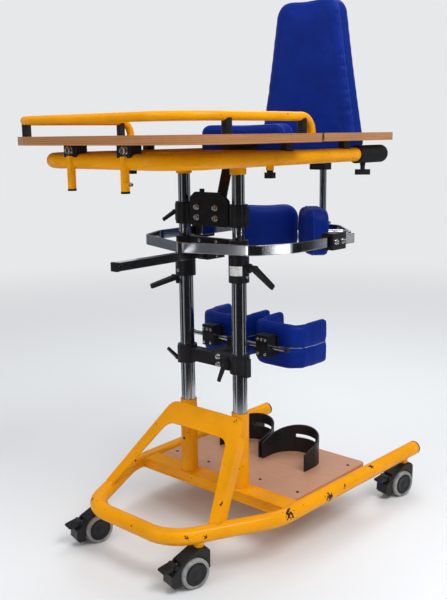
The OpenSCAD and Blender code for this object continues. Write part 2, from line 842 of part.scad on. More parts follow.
module cushion(low, high, h, t, r_low, r_high, draw) {
  outline = pad_outline(low, high, h, r_low, r_high, draw);
  n = len(outline);
  rings = len(pad_sections);
  points = [
    for (s = pad_sections) for (p = outline) [p[0] * s[0], -t * s[1], p[1] * s[0]],
    [0, 0, 0], [0, -t, 0]
  ];
  sides = [
    for (r = [0 : rings - 2]) for (k = [0 : n - 1])
      let (a = r * n + k, b = r * n + (k + 1) % n)
      each [[a, b, a + n], [b, b + n, a + n]]
  ];
  ends = [
    for (k = [0 : n - 1]) let (m = (k + 1) % n, top = (rings - 1) * n)
      each [[rings * n, m, k], [rings * n + 1, top + k, top + m]]
  ];
  polyhedron(points, concat(sides, ends));
}

module hip_pads() {
  color(blue) at_mast_line() both_sides()
    on_hip_face() translate([0, hip_t, 0])
      cushion(hip_len - 8, hip_len - 8, hip_h, hip_t, hip_corners[0], hip_corners[1], 2);
}

// Backrest

back_front_y = 390;
back_corners = [32, 46];
back_plate = [90, 205];

module backrest_bracket() {
  color(black) at_mast_line() difference() {
    union() {
      block([-post_block / 2 - 20, post_y - post_block / 2, back_z - 45],
            [post_block / 2, post_y + post_block / 2, back_z - 5]);
      block([-20, back_front_y + back_t + fit_gap + 4, back_z - 5],
            [20, post_y + post_block / 2, back_z + 5]);
      block([-back_plate[0] / 2, back_front_y + back_t + fit_gap, back_z - 5],
            [back_plate[0] / 2, back_front_y + back_t + fit_gap + 4, back_z - 5 + back_plate[1]]);
    }
    translate([0, post_y, 0]) cylinder(d = post_d + 2 * slide_gap, h = 2 * post_top_z);
  }
}

module backrest_pad() {
  color(blue) at_mast_line() translate([0, back_front_y + back_t, back_z + back_h / 2])
    cushion(back_w, back_top_w, back_h, back_t, back_corners[0], back_corners[1], 2.5);
}

// Chest support

module chest_clamp() {
  plate = mast_x - 15;
  color(black) at_mast_line() difference() {
    union() {
      both_sides() translate([mast_x, 0, chest_clamp_z])
        cylinder(d = chest_collar_d, h = chest_clamp_h);
      both_sides() block([mast_x - 12, -8, chest_clamp_z + 6],
                         [mast_x + chest_collar_d / 2 + 4, 8, chest_clamp_z + chest_clamp_h - 6]);
      translate([0, -14, chest_clamp_z]) rotate([90, 0, 0]) linear_extrude(9)
        polygon(rounded(
          [[26 - plate, 0], [plate, 0], [plate, chest_clamp_h + 8], [plate - 24, chest_clamp_h + 28],
           [44 - plate, chest_clamp_h + 28], [26 - plate, chest_clamp_h + 14]],
          [4, 4, 8, 10, 8, 8]));
      block([-mast_x, -14, chest_clamp_z + 12], [mast_x, 4, chest_clamp_z + chest_clamp_h - 12]);
      both_sides() block([mast_x - 30, -16, chest_clamp_z + 4],
                         [mast_x, 0, chest_clamp_z + chest_clamp_h - 4]);
      block([-18, -14, chest_clamp_z + 26], [18, 40, chest_clamp_z + 70]);
    }
    both_sides() translate([mast_x, 0, 0]) cylinder(d = inner_bore_d, h = 2 * chest_clamp_z);
    chest_lever_place() cylinder_x(small_stud_d + 2 * pin_gap, -20, 1);
  }
}

small_lever = 0.65;
small_lever_len = lever_len - 10;
small_stud_d = lever_bolt_d * small_lever;
small_stud = 10 / small_lever;

module chest_lever_place() {
  mirror([1, 0, 0]) translate([mast_x + chest_collar_d / 2 + 4, 0, chest_clamp_z + chest_clamp_h / 2])
    children();
}

module chest_lever() {
  color(black) at_mast_line() chest_lever_place() rotate([-145, 0, 0])
    scale(small_lever) clamp_lever(small_stud, small_lever_len);
}

module chest_strut() {
  top = tray_z - 36;
  color(black) at_mast_line() {
    foot = chest_clamp_z + 26;
    rotate([90, 0, 90]) linear_extrude(30, center = true)
      polygon([[40, foot], [46, foot], [46, foot + 44], [78, top], [chest_back_y, top],
               [chest_back_y, top + 6], [73, top + 6], [40, foot + 46]]);
    block([-60, chest_back_y - 4, top - 22], [60, chest_back_y, top + 40]);
  }
}

module chest_pad() {
  color(blue) at_mast_line() translate([0, chest_back_y + fit_gap, tray_top_z - 24])
    mirror([0, 1, 0]) cushion(chest_w, chest_w, chest_h, chest_t, 28, 28, 2.5);
}

// Knee support

module knee_clamp() {
  color(black) at_mast_line() difference() {
    union() {
      both_sides() translate([mast_x, 0, knee_clamp_z])
        cylinder(d = knee_collar_d, h = knee_clamp_h);
      block([-mast_x, -14, knee_clamp_z + 8], [mast_x, 14, knee_clamp_z + knee_clamp_h - 6]);
      both_sides() block([mast_x, -9, knee_clamp_z],
                         [mast_x + knee_collar_d / 2 + 4, 9, knee_clamp_z + knee_clamp_h - 8]);
      block([-20, 0, knee_clamp_z + 12], [20, knee_rod_y - 8, knee_clamp_z + knee_clamp_h - 6]);
      block([-20, knee_rod_y - 22, knee_clamp_z + 14], [20, knee_rod_y + 14, knee_rod_z + 12]);
      block([58, -26, knee_clamp_z + 8], [78, -10, knee_clamp_z + 30]);
      both_sides() block([mast_x, -9, knee_clamp_z - 8], [mast_x + knee_collar_d / 2 + 4, 9, knee_clamp_z + 1]);
    }
    both_sides() translate([mast_x, 0, 0])
      cylinder(d = outer_mast_d + 2 * slide_gap, h = outer_top_z);
    translate([0, knee_rod_y, knee_rod_z]) cylinder_x(knee_rod_d + 2 * fit_gap, -50, 50);
    knee_lever_place() cylinder_x(small_stud_d + 2 * pin_gap, -20, 1);
    front_lever_place() cylinder_x(small_stud_d + 2 * pin_gap, -14, 1);
  }
}

module knee_lever_place() {
  mirror([1, 0, 0]) translate([mast_x + knee_collar_d / 2 + 4, 0, knee_clamp_z + 2])
    children();
}

module front_lever_place() {
  translate([68, -26, knee_clamp_z + 19]) rotate([0, 0, -90]) children();
}

module knee_lever_left() {
  color(black) at_mast_line() knee_lever_place() rotate([128, 0, 0])
    scale(small_lever) clamp_lever(small_stud, small_lever_len);
}

module knee_lever_right() {
  color(black) at_mast_line() front_lever_place() rotate([-97, 0, 0])
    scale(small_lever) clamp_lever(small_stud, small_lever_len);
}

module knee_rod() {
  reach = knee_x + 75;
  color(chrome) at_mast_line() translate([0, knee_rod_y, knee_rod_z])
    cylinder_x(knee_rod_d, -reach, reach);
}

module knee_holder() {
  difference() {
    union() {
      block([knee_x - 20, knee_rod_y - 16, knee_rod_z - 26],
            [knee_x + 20, knee_rod_y + 16, knee_rod_z + 32]);
      translate([knee_x, 0, knee_rod_z]) cylinder_y(18, knee_rod_y, knee_front_y - 4);
      block([knee_x - 20, knee_front_y - 4, knee_rod_z - 26],
            [knee_x + 20, knee_front_y - fit_gap, knee_rod_z + 26]);
    }
    translate([0, knee_rod_y, knee_rod_z])
      cylinder_x(knee_rod_d + 2 * slide_gap, 0, 2 * knee_x);
  }
}

module knee_holder_right() { color(black) at_mast_line() knee_holder(); }
module knee_holder_left() { color(black) at_mast_line() mirror([1, 0, 0]) knee_holder(); }

// Knee pad: an upright cup, open to the rear, whose wall thins at its rims and wings
function corner_power(c) = sign(c) * pow(abs(c), 0.3);

cup_steps = 24;
cup_start = 2;
cup_sections = [[0, 0.6], [0.025, 0.82], [0.08, 0.95], [0.2, 1], [0.46, 1], [0.5, 0.94],
                [0.54, 1], [0.8, 1], [0.92, 0.95], [0.975, 0.82], [1, 0.6]];

function cup_reach(a) = (1 - pow(abs(sin(a)), 0.5)) / (1 - pow(sin(cup_start), 0.5));
function cup_axis(a) =
  [(knee_w - knee_t) / 2 * corner_power(cos(a)),
   knee_t / 2 + (knee_depth - knee_t / 2) * cup_reach(a)];
function cup_normal(a) =
  let (d = unit(cup_axis(a + 0.5) - cup_axis(a - 0.5))) [d[1], -d[0]];
function cup_half(a) = knee_t / 2 * (0.55 + 0.45 * pow(abs(sin(a)), 0.5));

module knee_pad() {
  n = cup_steps;
  rings = len(cup_sections);
  row = 2 * (n + 1);
  points = [
    for (s = cup_sections) for (side = [1, -1]) for (k = [0 : n])
      let (a = cup_start + (180 - 2 * cup_start) * k / n,
           p = cup_axis(a) + side * s[1] * cup_half(a) * cup_normal(a))
      [p[0], p[1], s[0] * (knee_h + knee_rise * cup_reach(a))]
  ];
  function loop(k) = k <= n ? k : row - 1 - (k - n - 1);
  walls = [
    for (r = [0 : rings - 2]) for (k = [0 : row - 1])
      let (a = r * row + loop(k), b = r * row + loop((k + 1) % row))
      each [[a, a + row, b], [b, a + row, b + row]]
  ];
  rims = [
    for (k = [0 : n - 1]) let (i = k, o = n + 1 + k, top = (rings - 1) * row)
      each [[i, i + 1, o], [i + 1, o + 1, o],
            [top + i, top + o, top + i + 1], [top + i + 1, top + o, top + o + 1]]
  ];
  translate([knee_x, knee_front_y, knee_pad_z]) polyhedron(points, concat(walls, rims));
}

module knee_pad_right() { color(blue) at_mast_line() knee_pad(); }
module knee_pad_left() { color(blue) at_mast_line() mirror([1, 0, 0]) knee_pad(); }

// Table

frame_path = [
  [-frame_half, frame_arm_y], [-frame_half, -frame_front_y],
  [frame_half, -frame_front_y], [frame_half, frame_arm_y]
];
frame_radii = [0, frame_r, frame_r, 0];
front_socket_y = -frame_front_y - frame_d / 2 - front_socket_d / 2 + 13;
front_socket_top = frame_z + 12;
front_socket_z = front_socket_top - front_socket_len;
front_socket_bore = front_socket_len - 33;

module frame_path_solid(d, past = 0) {
  translate([0, 0, frame_z]) {
    bent_bar(run_out(frame_path, past), frame_radii) circle(d = d);
    cylinder_x(d, -frame_half, frame_half);
  }
}

module table_frame() {
  boss_top = frame_z - frame_d / 2 + 3;
  color(yellow) at_mast_line() difference() {
    union() {
      frame_path_solid(frame_d);
      both_sides() {
        translate([mast_x, 0, mast_head_z]) cylinder(d = inner_mast_d + 9, h = frame_z - mast_head_z);
        translate([frame_half, boss_y, boss_top - 12]) cylinder(d = 18, h = 12);
      }
      front_socket_solid(front_socket_d);
      translate([front_socket_x, front_socket_y, front_socket_z + 19])
        cylinder_x(10, front_socket_d / 2 - 1.4, front_socket_d / 2 + 6);
    }
    frame_path_solid(frame_bore, 1);
    both_sides() {
      translate([mast_x, 0, mast_head_z - eps])
        cylinder(d = inner_mast_d + 2 * fit_gap, h = mast_top_z - mast_head_z + eps);
      translate([front_socket_x, front_socket_y, front_socket_z - eps])
        cylinder(d = front_socket_d - 4, h = front_socket_bore + eps);
      translate([frame_half, boss_y, boss_top - 13])
        cylinder(d = thread_d + 2 * pin_gap, h = 13);
    }
  }
}

module tray() {
  color(wood) at_mast_line() translate([0, 0, tray_z]) linear_extrude(tray_t) difference() {
    polygon(rounded(
      [[-tray_half, -tray_front_y], [tray_half, -tray_front_y], [tray_half, tray_step_y],
       [tray_arm_half, tray_step_y], [tray_arm_half, tray_arm_y], [-tray_arm_half, tray_arm_y],
       [-tray_arm_half, tray_step_y], [-tray_half, tray_step_y]],
      [tray_r, tray_r, 6, 4, 12, 12, 4, 6]));
    polygon(rounded(
      [[-cutout_half, cutout_y], [cutout_half, cutout_y],
       [cutout_half, tray_arm_y + 1], [-cutout_half, tray_arm_y + 1]], [40, 40, 0, 0]));
  }
}

rail_r = tray_r - rail_inset;
rail_path = [
  [-rail_half, rail_end_y], [-rail_half, -rail_front_y],
  [rail_half, -rail_front_y], [rail_half, rail_end_y]
];

module rail_solid(d) {
  translate([0, 0, rail_z]) bent_bar(rail_path, [0, rail_r, rail_r, 0]) circle(d = d);
  both_sides() translate([rail_half, rail_end_y, tray_top_z]) rotate([0, -90, 0])
    rotate_extrude(angle = 90) translate([rail_h, 0]) circle(d = d);
}

module grab_rail() {
  color(yellow) at_mast_line() difference() {
    rail_solid(rail_d);
    rail_solid(rail_d - 2 * rail_wall);
  }
}

rail_post_d = 22;
function on_corner(side, a) =
  [side * (rail_half - rail_r + rail_r * cos(a)), rail_r - rail_front_y - rail_r * sin(a)];
corner_posts = [on_corner(-1, 42), on_corner(1, 3)];

module rail_posts() {
  color(black) at_mast_line() difference() {
    for (p = concat(corner_posts, [for (side = [-1, 1]) [side * rail_half, rail_end_y + 2]]))
      translate([p[0], p[1], tray_top_z]) cylinder(d = rail_post_d, h = rail_h - 4);
    rail_solid(rail_d);
  }
}

module front_socket_solid(d, gap = 0) {
  both_sides() translate([front_socket_x, front_socket_y, front_socket_z])
    cylinder(d = d, h = front_socket_len + gap);
}

module tray_brackets() {
  color(black) at_mast_line() difference() {
    both_sides() {
      block([front_socket_x - 23, -frame_front_y - 15, frame_z],
            [front_socket_x + 23, -frame_front_y + 15, tray_z]);
      for (y = [-2, 235])
        block([frame_half - 9, y, frame_z], [frame_half + 9, y + 26, tray_z]);
    }
    frame_path_solid(frame_d);
    front_socket_solid(front_socket_d + 2 * fit_gap, fit_gap);
    block([-frame_half - frame_d, -frame_front_y - frame_d, frame_z - frame_d],
          [frame_half + frame_d, frame_arm_y, frame_z]);
  }
}

module end_sleeves() {
  color(black) at_mast_line() both_sides() translate([frame_half, 0, frame_z]) difference() {
    union() {
      rotate([-90, 0, 0]) translate([0, 0, sleeve_y]) rotate_extrude()
        polygon(rounded([[0, 0], [sleeve_d / 2, 0], [sleeve_d / 2, sleeve_len], [0, sleeve_len]],
                        [0, 1.5, 12, 0]));
      translate([0, knob_y, -sleeve_d / 2 - 6]) cylinder(d = 14, h = 12);
    }
    cylinder_y(frame_d + 2 * fit_gap, sleeve_y - 1, frame_arm_y + 1);
    translate([0, knob_y, -sleeve_d / 2 - 7]) cylinder(d = thread_d + 2 * pin_gap, h = 12);
  }
}

// Knobs hang on their studs: a star knob below the frame, a wing knob below the sleeve

module star_knob() {
  cylinder(d = thread_d, h = 9);
  translate([0, 0, -18]) difference() {
    union() {
      cylinder(d = 26, h = 13);
      cylinder(d = 15, h = 18);
    }
    for (k = [0 : 5]) rotate([0, 0, 60 * k]) translate([15.5, 0, -1]) cylinder(d = 9, h = 13);
  }
}

module wing_knob() {
  cylinder(d = thread_d, h = 9);
  translate([0, 0, -10]) cylinder(d = 12, h = 10);
  translate([0, 0, -24]) linear_extrude(14)
    polygon(rounded([[-20, -6], [20, -6], [20, 6], [-20, 6]], [5, 5, 5, 5]));
}

star_knob_z = frame_z - frame_d / 2 + 3 - 12 - fit_gap;
wing_knob_z = frame_z - sleeve_d / 2 - 6 - fit_gap;

module frame_knob(side) {
  color(black) at_mast_line() translate([side * frame_half, boss_y, star_knob_z]) star_knob();
}

module sleeve_knob(side) {
  color(black) at_mast_line() translate([side * frame_half, knob_y, wing_knob_z])
    rotate([0, 0, 35]) wing_knob();
}

base_tube();
tube_plugs();
cross_members();
mast_sockets();
gusset_plate();
footplate();
heel_cups();
outer_masts();
mast_collars();
hip_bracket();
collar_lever_left();
collar_lever_right();
castor_hood(0);  // castor_hood_fl
castor_hubs(0);  // castor_hubs_fl
castor_tyres(0);  // castor_tyres_fl
castor_pedal(0);  // castor_pedal_fl
castor_hood(1);  // castor_hood_fr
castor_hubs(1);  // castor_hubs_fr
castor_tyres(1);  // castor_tyres_fr
castor_pedal(1);  // castor_pedal_fr
castor_hood(2);  // castor_hood_rl
castor_hubs(2);  // castor_hubs_rl
castor_tyres(2);  // castor_tyres_rl
castor_pedal(2);  // castor_pedal_rl
castor_hood(3);  // castor_hood_rr
castor_hubs(3);  // castor_hubs_rr
castor_tyres(3);  // castor_tyres_rr
castor_pedal(3);  // castor_pedal_rr
knee_clamp();
knee_lever_left();
knee_lever_right();
knee_rod();
knee_holder_left();
knee_holder_right();
knee_pad_left();
knee_pad_right();
chest_clamp();
chest_lever();
chest_strut();
chest_pad();
hip_slide_bar();
hip_bar_cap();
hip_ring();
ring_clamps();
rear_bar();
backrest_post();
hip_pads();
backrest_bracket();
backrest_pad();
inner_masts();
table_frame();
tray();
grab_rail();
rail_posts();
tray_brackets();
end_sleeves();
frame_knob(-1);  // frame_knob_left
frame_knob(1);  // frame_knob_right
sleeve_knob(-1);  // sleeve_knob_left
sleeve_knob(1);  // sleeve_knob_right
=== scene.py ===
"""Dresses a standing frame: paint, chrome, swollen vinyl pads, welds and fasteners on its solids."""

import json
import math

import bmesh
import bpy
from mathutils import Matrix, Vector, noise
from mathutils.bvhtree import BVHTree


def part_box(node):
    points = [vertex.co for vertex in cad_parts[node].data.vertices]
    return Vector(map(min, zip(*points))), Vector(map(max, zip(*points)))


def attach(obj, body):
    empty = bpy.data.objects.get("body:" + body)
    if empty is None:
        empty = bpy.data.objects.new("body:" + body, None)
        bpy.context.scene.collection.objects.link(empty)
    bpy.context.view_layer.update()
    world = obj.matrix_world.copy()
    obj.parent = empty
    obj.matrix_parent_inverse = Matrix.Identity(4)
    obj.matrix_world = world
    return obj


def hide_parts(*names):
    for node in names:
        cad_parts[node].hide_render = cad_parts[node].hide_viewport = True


bl_info = {
    "name": "Standing frame",
    "version": (1, 0, 0),
    "blender": (4, 5, 0),
    "location": "View3D > Sidebar > Standing frame",
    "description": "Dresses a standing frame with pads, paint, chrome and fasteners",
    "category": "Object",
}

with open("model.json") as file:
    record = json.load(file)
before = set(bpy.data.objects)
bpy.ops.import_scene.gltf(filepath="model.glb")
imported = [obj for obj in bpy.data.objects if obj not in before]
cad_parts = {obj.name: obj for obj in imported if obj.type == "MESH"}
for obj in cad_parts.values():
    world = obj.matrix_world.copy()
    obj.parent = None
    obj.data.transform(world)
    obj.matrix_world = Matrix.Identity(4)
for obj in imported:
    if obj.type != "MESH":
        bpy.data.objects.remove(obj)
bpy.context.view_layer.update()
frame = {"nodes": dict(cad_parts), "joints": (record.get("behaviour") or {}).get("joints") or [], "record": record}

MM = 0.001
TURN = 2 * math.pi
ENDS = ("fl", "fr", "rl", "rr")
SIDES = (("left", -1), ("right", 1))
UP = (0, 0, 1)
TO_FRONT = (0, -1, 0)
TO_REAR = (0, 1, 0)

# Points closer than this are one, in the loose triangles of a CAD node and in a new piece
CAD_MERGE = 0.02 * MM
PIECE_MERGE = 0.005 * MM
SHARP_ANGLE = math.radians(35)

# The upright sockets below the front of the table frame, in millimetres from the mast line
SOCKET_X = 91
SOCKET_Y = -364
SOCKET_FOOT = 924.5

# The mast line, from which distances along Y are given in millimetres
mast_low, mast_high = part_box("outer_masts")
MAST_Y = (mast_low.y + mast_high.y) / 2
OUTER_MAST_R = (mast_high.y - mast_low.y) / 2 / MM
MAST_X = mast_high.x / MM - OUTER_MAST_R


def at(x, y, z):
    """A point given in millimetres from the mast line, in the model's metres."""
    return Vector((x * MM, y * MM + MAST_Y, z * MM))


def from_mast(point):
    """A point of the model in millimetres from the mast line."""
    return Vector((point.x / MM, (point.y - MAST_Y) / MM, point.z / MM))


def low(node):
    """Lowest corner of a CAD node in millimetres from the mast line."""
    return from_mast(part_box(node)[0])


def high(node):
    """Highest corner of a CAD node in millimetres from the mast line."""
    return from_mast(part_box(node)[1])


def facing(point, direction):
    """A place whose local Z axis points in the direction."""
    turn = Vector(direction).to_track_quat("Z", "Y")
    return Matrix.Translation(point) @ turn.to_matrix().to_4x4()


# Settings


def colour(name, description, rgb):
    return bpy.props.FloatVectorProperty(
        name=name, description=description, subtype="COLOR", size=3, min=0, max=1, default=rgb)


def length(name, description, millimetres):
    return bpy.props.FloatProperty(
        name=name, description=description, subtype="DISTANCE", unit="LENGTH", min=0,
        default=millimetres * MM)


class StandColours(bpy.types.PropertyGroup):
    """Colours of the frame's finishes"""

    yellow: colour("Yellow paint", "Gloss paint of the tubes", (0.88, 0.35, 0.003))
    chip: colour("Chips", "Bare primer under the chipped paint", (0.035, 0.028, 0.022))
    chrome: colour("Chrome", "Plating of the masts, bars and ring", (0.38, 0.39, 0.41))
    zinc: colour("Zinc", "Plating of the screws", (0.72, 0.72, 0.70))
    moulding: colour("Moulding", "Black plastic of the castors, caps and levers", (0.012, 0.012, 0.014))
    enamel: colour("Enamel", "Black paint of the clamps", (0.010, 0.010, 0.012))
    grip: colour("Grip", "Black rubber of the end sleeves", (0.008, 0.008, 0.009))
    vinyl: colour("Vinyl", "Blue cover of the pads", (0.0008, 0.019, 0.225))
    # Painted highlight: the welts' lighter blue stands in for the light along the pads' edges
    piping: colour("Piping", "Welt along the pads' seams", (0.002, 0.030, 0.30))
    tread: colour("Tread", "Grey rubber of the tyres", (0.30, 0.30, 0.29))
    laminate: colour("Laminate", "Pinkish face of the footplate", (0.55, 0.285, 0.175))
    tray: colour("Tray", "Varnished face of the tray", (0.40, 0.18, 0.07))
    # Painted highlight: the cord's pale grey-blue stands in for the light along the knee pads' grooves
    cord: colour("Cord", "Cord in the knee pads' grooves", (0.26, 0.31, 0.44))
    film: colour("Label", "Blank label on the collar", (0.80, 0.80, 0.78))
    floor: colour("Floor", "Pale floor", (0.80, 0.82, 0.84))


class StandSizes(bpy.types.PropertyGroup):
    """Sizes of the pieces that dress the frame"""

    piping_r: length("Piping", "Radius of the welt along the pads' seams", 1.7)
    cord_r: length("Groove cord", "Radius of the cord in the knee pads' grooves", 1.0)
    voxel: length("Voxel", "Grid that the pads are remeshed on", 5.0)
    shrink: length("Shrink", "How much smaller a pad starts than its solid", 4.0)
    swell_cap: length("Swell", "Most that the cloth may move while it swells", 6.0)
    bead_r: length("Weld", "Radius of a weld bead", 3.2)


def colours():
    return bpy.context.scene.stand_colours


def sizes():
    return bpy.context.scene.stand_sizes


# Shader wiring


class Wire:
    """A shader socket that takes part in Python sums."""

    def __init__(self, wiring, socket):
        self.wiring = wiring
        self.socket = socket

    def maths(self, operation, *values):
        return self.wiring.node("ShaderNodeMath", {"operation": operation}, dict(enumerate(values)))

    def __add__(self, other):
        return self.maths("ADD", self, other)

    __radd__ = __add__

    def __sub__(self, other):
        return self.maths("SUBTRACT", self, other)

    def __rsub__(self, other):
        return self.maths("SUBTRACT", other, self)

    def __mul__(self, other):
        return self.maths("MULTIPLY", self, other)

    __rmul__ = __mul__

    def __abs__(self):
        return self.maths("ABSOLUTE", self)

    def most(self, other):
        return self.maths("MAXIMUM", self, other)

    def wave(self):
        return self.maths("SINE", self)


class Wiring:
    """A node tree while it is wired."""

    def __init__(self, tree):
        self.tree = tree

    def node(self, kind, settings=None, inputs=None, output=0):
        """Adds a node with its settings or its ramp's stops, then the values or links of its sockets."""
        made = self.tree.nodes.new(kind)
        for key, value in (settings or {}).items():
            if key == "stops":
                self.set_stops(made.color_ramp.elements, value)
            else:
                setattr(made, key, value)
        for key, value in (inputs or {}).items():
            if isinstance(value, Wire):
                self.tree.links.new(value.socket, made.inputs[key])
            else:
                made.inputs[key].default_value = value
        return Wire(self, made.outputs[output])

    def set_stops(self, elements, stops):
        while len(elements) < len(stops):
            elements.new(0.5)
        for element, (position, shade) in zip(elements, stops):
            element.position = position
            element.color = shade


class Finish(Wiring):
    """A material while it is wired: its nodes feed one surface shader."""

    def __init__(self, name, **constants):
        self.material = bpy.data.materials.new(name)
        self.material.use_nodes = True
        super().__init__(self.material.node_tree)
        self.tree.nodes.clear()
        self.surface = self.tree.nodes.new("ShaderNodeBsdfPrincipled")
        for socket, value in constants.items():
            self.surface.inputs[socket.replace("_", " ")].default_value = value
        output = self.tree.nodes.new("ShaderNodeOutputMaterial")
        self.tree.links.new(self.surface.outputs[0], output.inputs["Surface"])
        self.place = self.node("ShaderNodeTexCoord", output="Object")

    def feed(self, **wires):
        for socket, wire in wires.items():
            self.tree.links.new(wire.socket, self.surface.inputs[socket.replace("_", " ")])

    def mix(self, share, first, second):
        return self.node(
            "ShaderNodeMix", {"data_type": "RGBA"}, {0: share, 6: first, 7: second}, output=2)

    def stretched(self, scale):
        return self.node("ShaderNodeMapping", None, {"Vector": self.place, "Scale": scale})

    def cloud(self, scale, detail=3.0, place=None):
        return self.node(
            "ShaderNodeTexNoise", None,
            {"Vector": place or self.place, "Scale": scale, "Detail": detail})

    def cells(self, scale):
        return self.node("ShaderNodeTexVoronoi", None, {"Vector": self.place, "Scale": scale})

    def between(self, value, start, end):
        return self.node(
            "ShaderNodeMapRange", {"interpolation_type": "SMOOTHSTEP"},
            {"Value": value, "From Min": start, "From Max": end})

    def height(self):
        return self.node("ShaderNodeSeparateXYZ", None, {0: self.place}, output="Z")

    def upright(self):
        """How squarely the surface faces up or down."""
        normal = self.node("ShaderNodeTexCoord", output="Normal")
        return abs(self.node("ShaderNodeSeparateXYZ", None, {0: normal}, output="Z"))

    def near(self, point, reach):
        """One at the point, falling to nothing at the reach."""
        away = self.node(
            "ShaderNodeVectorMath", {"operation": "DISTANCE"}, {0: self.place, 1: point},
            output="Value")
        return 1 - self.between(away, 0.0, reach)

    def rays(self):
        """One for rays from the camera and for those that metal and glass pass on."""
        seen = self.node("ShaderNodeLightPath", output="Is Camera Ray")
        seen = seen.most(self.node("ShaderNodeLightPath", output="Is Glossy Ray"))
        return seen.most(self.node("ShaderNodeLightPath", output="Is Transmission Ray"))

    def veil(self, share, rgb):
        """Lays an even glow over the surface by a share."""
        glow = self.node("ShaderNodeEmission", None, {"Color": rgba(rgb)})
        under = Wire(self, self.surface.outputs[0])
        both = self.node("ShaderNodeMixShader", None, {0: share, 1: under, 2: glow})
        self.tree.links.new(both.socket, self.tree.nodes["Material Output"].inputs["Surface"])

    def eased(self, radius):
        """The normal of a surface whose sharp edges are rounded off."""
        return self.node("ShaderNodeBevel", {"samples": 4}, {"Radius": radius})

    def bump(self, height, strength, depth, under=None):
        inputs = {"Height": height, "Strength": strength, "Distance": depth}
        if under:
            inputs["Normal"] = under
        return self.node("ShaderNodeBump", None, inputs)


def rgba(rgb, factor=1.0):
    return (rgb[0] * factor, rgb[1] * factor, rgb[2] * factor, 1.0)


# Chipped places on the yellow paint, in millimetres from the mast line, with their reach
CHIPS = (
    (173, -285, 126, 13), (196, -248, 122, 11), (286, -40, 129, 34), (293, 121, 122, 30),
    (290, 190, 126, 14), (-56, -399, 1085, 7), (314, -88, 1087, 7), (-92, -23, 231, 12),
    (106, -31, 327, 13), (183, -177, 175, 10), (284, 330, 138, 18), (-262, -70, 138, 26),
    (-150, -306, 138, 16), (-292, 240, 126, 22), (30, -330, 128, 9), (236, 110, 1006, 10),
)


def yellow_paint():
    tone = colours()
    f = Finish("yellow_paint", Coat_Weight=0.26, Coat_Roughness=0.05, Specular_IOR_Level=0.04)
    dirt = f.cloud(9.0, 4.0)
    paint = f.mix(f.between(dirt, 0.35, 0.75), rgba(tone.yellow), rgba(tone.yellow, 0.86))
    chipped = None
    for x, y, z, reach in CHIPS:
        spot = f.near(at(x, y, z), reach * MM)
        chipped = spot if chipped is None else chipped.most(spot)
    flakes = f.cloud(150.0, 3.0) * 0.75 + f.cloud(45.0, 2.0) * 0.35 + chipped * 0.27
    specks = f.between(f.cloud(70.0, 2.0), 0.765, 0.785)
    bare = f.between(flakes, 0.74, 0.765).most(specks)
    peel = f.cloud(260.0, 2.0)
    f.feed(
        Base_Color=f.mix(bare, paint, rgba(tone.chip)),
        Roughness=0.36 + dirt * 0.16 + bare * 0.2,
        Normal=f.bump(peel * 0.05 - bare, 0.22, 0.0006, f.eased(0.0015)))
    return f.material


def plating(name, rgb, polish, ease=0.0014):
    f = Finish(name, Metallic=1.0)
    smear = f.cloud(14.0, 5.0, f.stretched((1.0, 1.0, 0.3)))
    pits = f.between(f.cloud(420.0, 2.0), 0.70, 0.78)
    f.feed(
        Base_Color=f.mix(pits * 0.5, rgba(rgb), rgba(rgb, 0.45)),
        Roughness=polish + smear * 0.16 + pits * 0.2,
        Normal=f.bump(f.cloud(900.0, 1.0), 0.04, 0.0003, f.eased(ease)))
    return f.material


def black_finish(name, rgb, polish, grain, depth, dust):
    f = Finish(name, Specular_IOR_Level=0.3)
    wear = f.cloud(35.0, 5.0)
    scratch = f.between(f.cloud(60.0, 4.0, f.stretched((1.0, 7.0, 2.0))), 0.66, 0.72)
    pale = (dust, dust, dust * 0.96, 1.0)
    f.feed(
        Base_Color=f.mix(f.between(wear, 0.45, 0.8) * 0.45 + scratch * 0.35, rgba(rgb), pale),
        Roughness=polish + wear * 0.2 - scratch * 0.08,
        Normal=f.bump(f.cloud(grain, 2.0) - scratch * 0.3, 0.25, depth, f.eased(0.0013)))
    return f.material


def blue_vinyl():
    tone = colours()
    f = Finish("blue_vinyl", Specular_IOR_Level=0.11)
    wide = f.cloud(11.0, 4.0)
    pores = f.cells(620.0)
    folds = f.cloud(42.0, 4.0, f.stretched((1.0, 1.6, 0.55)))
    f.feed(
        Base_Color=f.mix(f.between(wide, 0.3, 0.75), rgba(tone.vinyl), rgba(tone.vinyl, 0.78)),
        Roughness=0.36 + wide * 0.16 + pores * 0.08,
        Normal=f.bump(f.between(pores, 0.0, 0.55) * 0.4 + folds * 0.9, 0.3, 0.0012))
    return f.material


# Glossy vinyl for the welts and the knee cords, whose given colour is a painted highlight
def piping_vinyl(name, rgb):
    f = Finish(name, Specular_IOR_Level=0.3)
    rub = f.cloud(60.0, 3.0)
    f.feed(
        Base_Color=f.mix(rub, rgba(rgb), rgba(rgb, 0.8)),
        Roughness=0.34 + rub * 0.15,
        Normal=f.bump(f.cells(620.0), 0.2, 0.0006))
    return f.material


def grey_tread():
    tone = colours()
    f = Finish("grey_tread", Specular_IOR_Level=0.35)
    scuff = f.cloud(55.0, 5.0)
    f.feed(
        Base_Color=f.mix(f.between(scuff, 0.4, 0.7), rgba(tone.tread), rgba(tone.tread, 0.62)),
        Roughness=0.55 + scuff * 0.2,
        Normal=f.bump(f.cloud(500.0, 2.0), 0.25, 0.0005))
    return f.material


# Where shade is painted on the tray's edge behind its step, in millimetres from the mast line, and how far it
# reaches
TRAY_STEP = (270, 98, 1037)
STEP_SHADE_REACH = 22 * MM


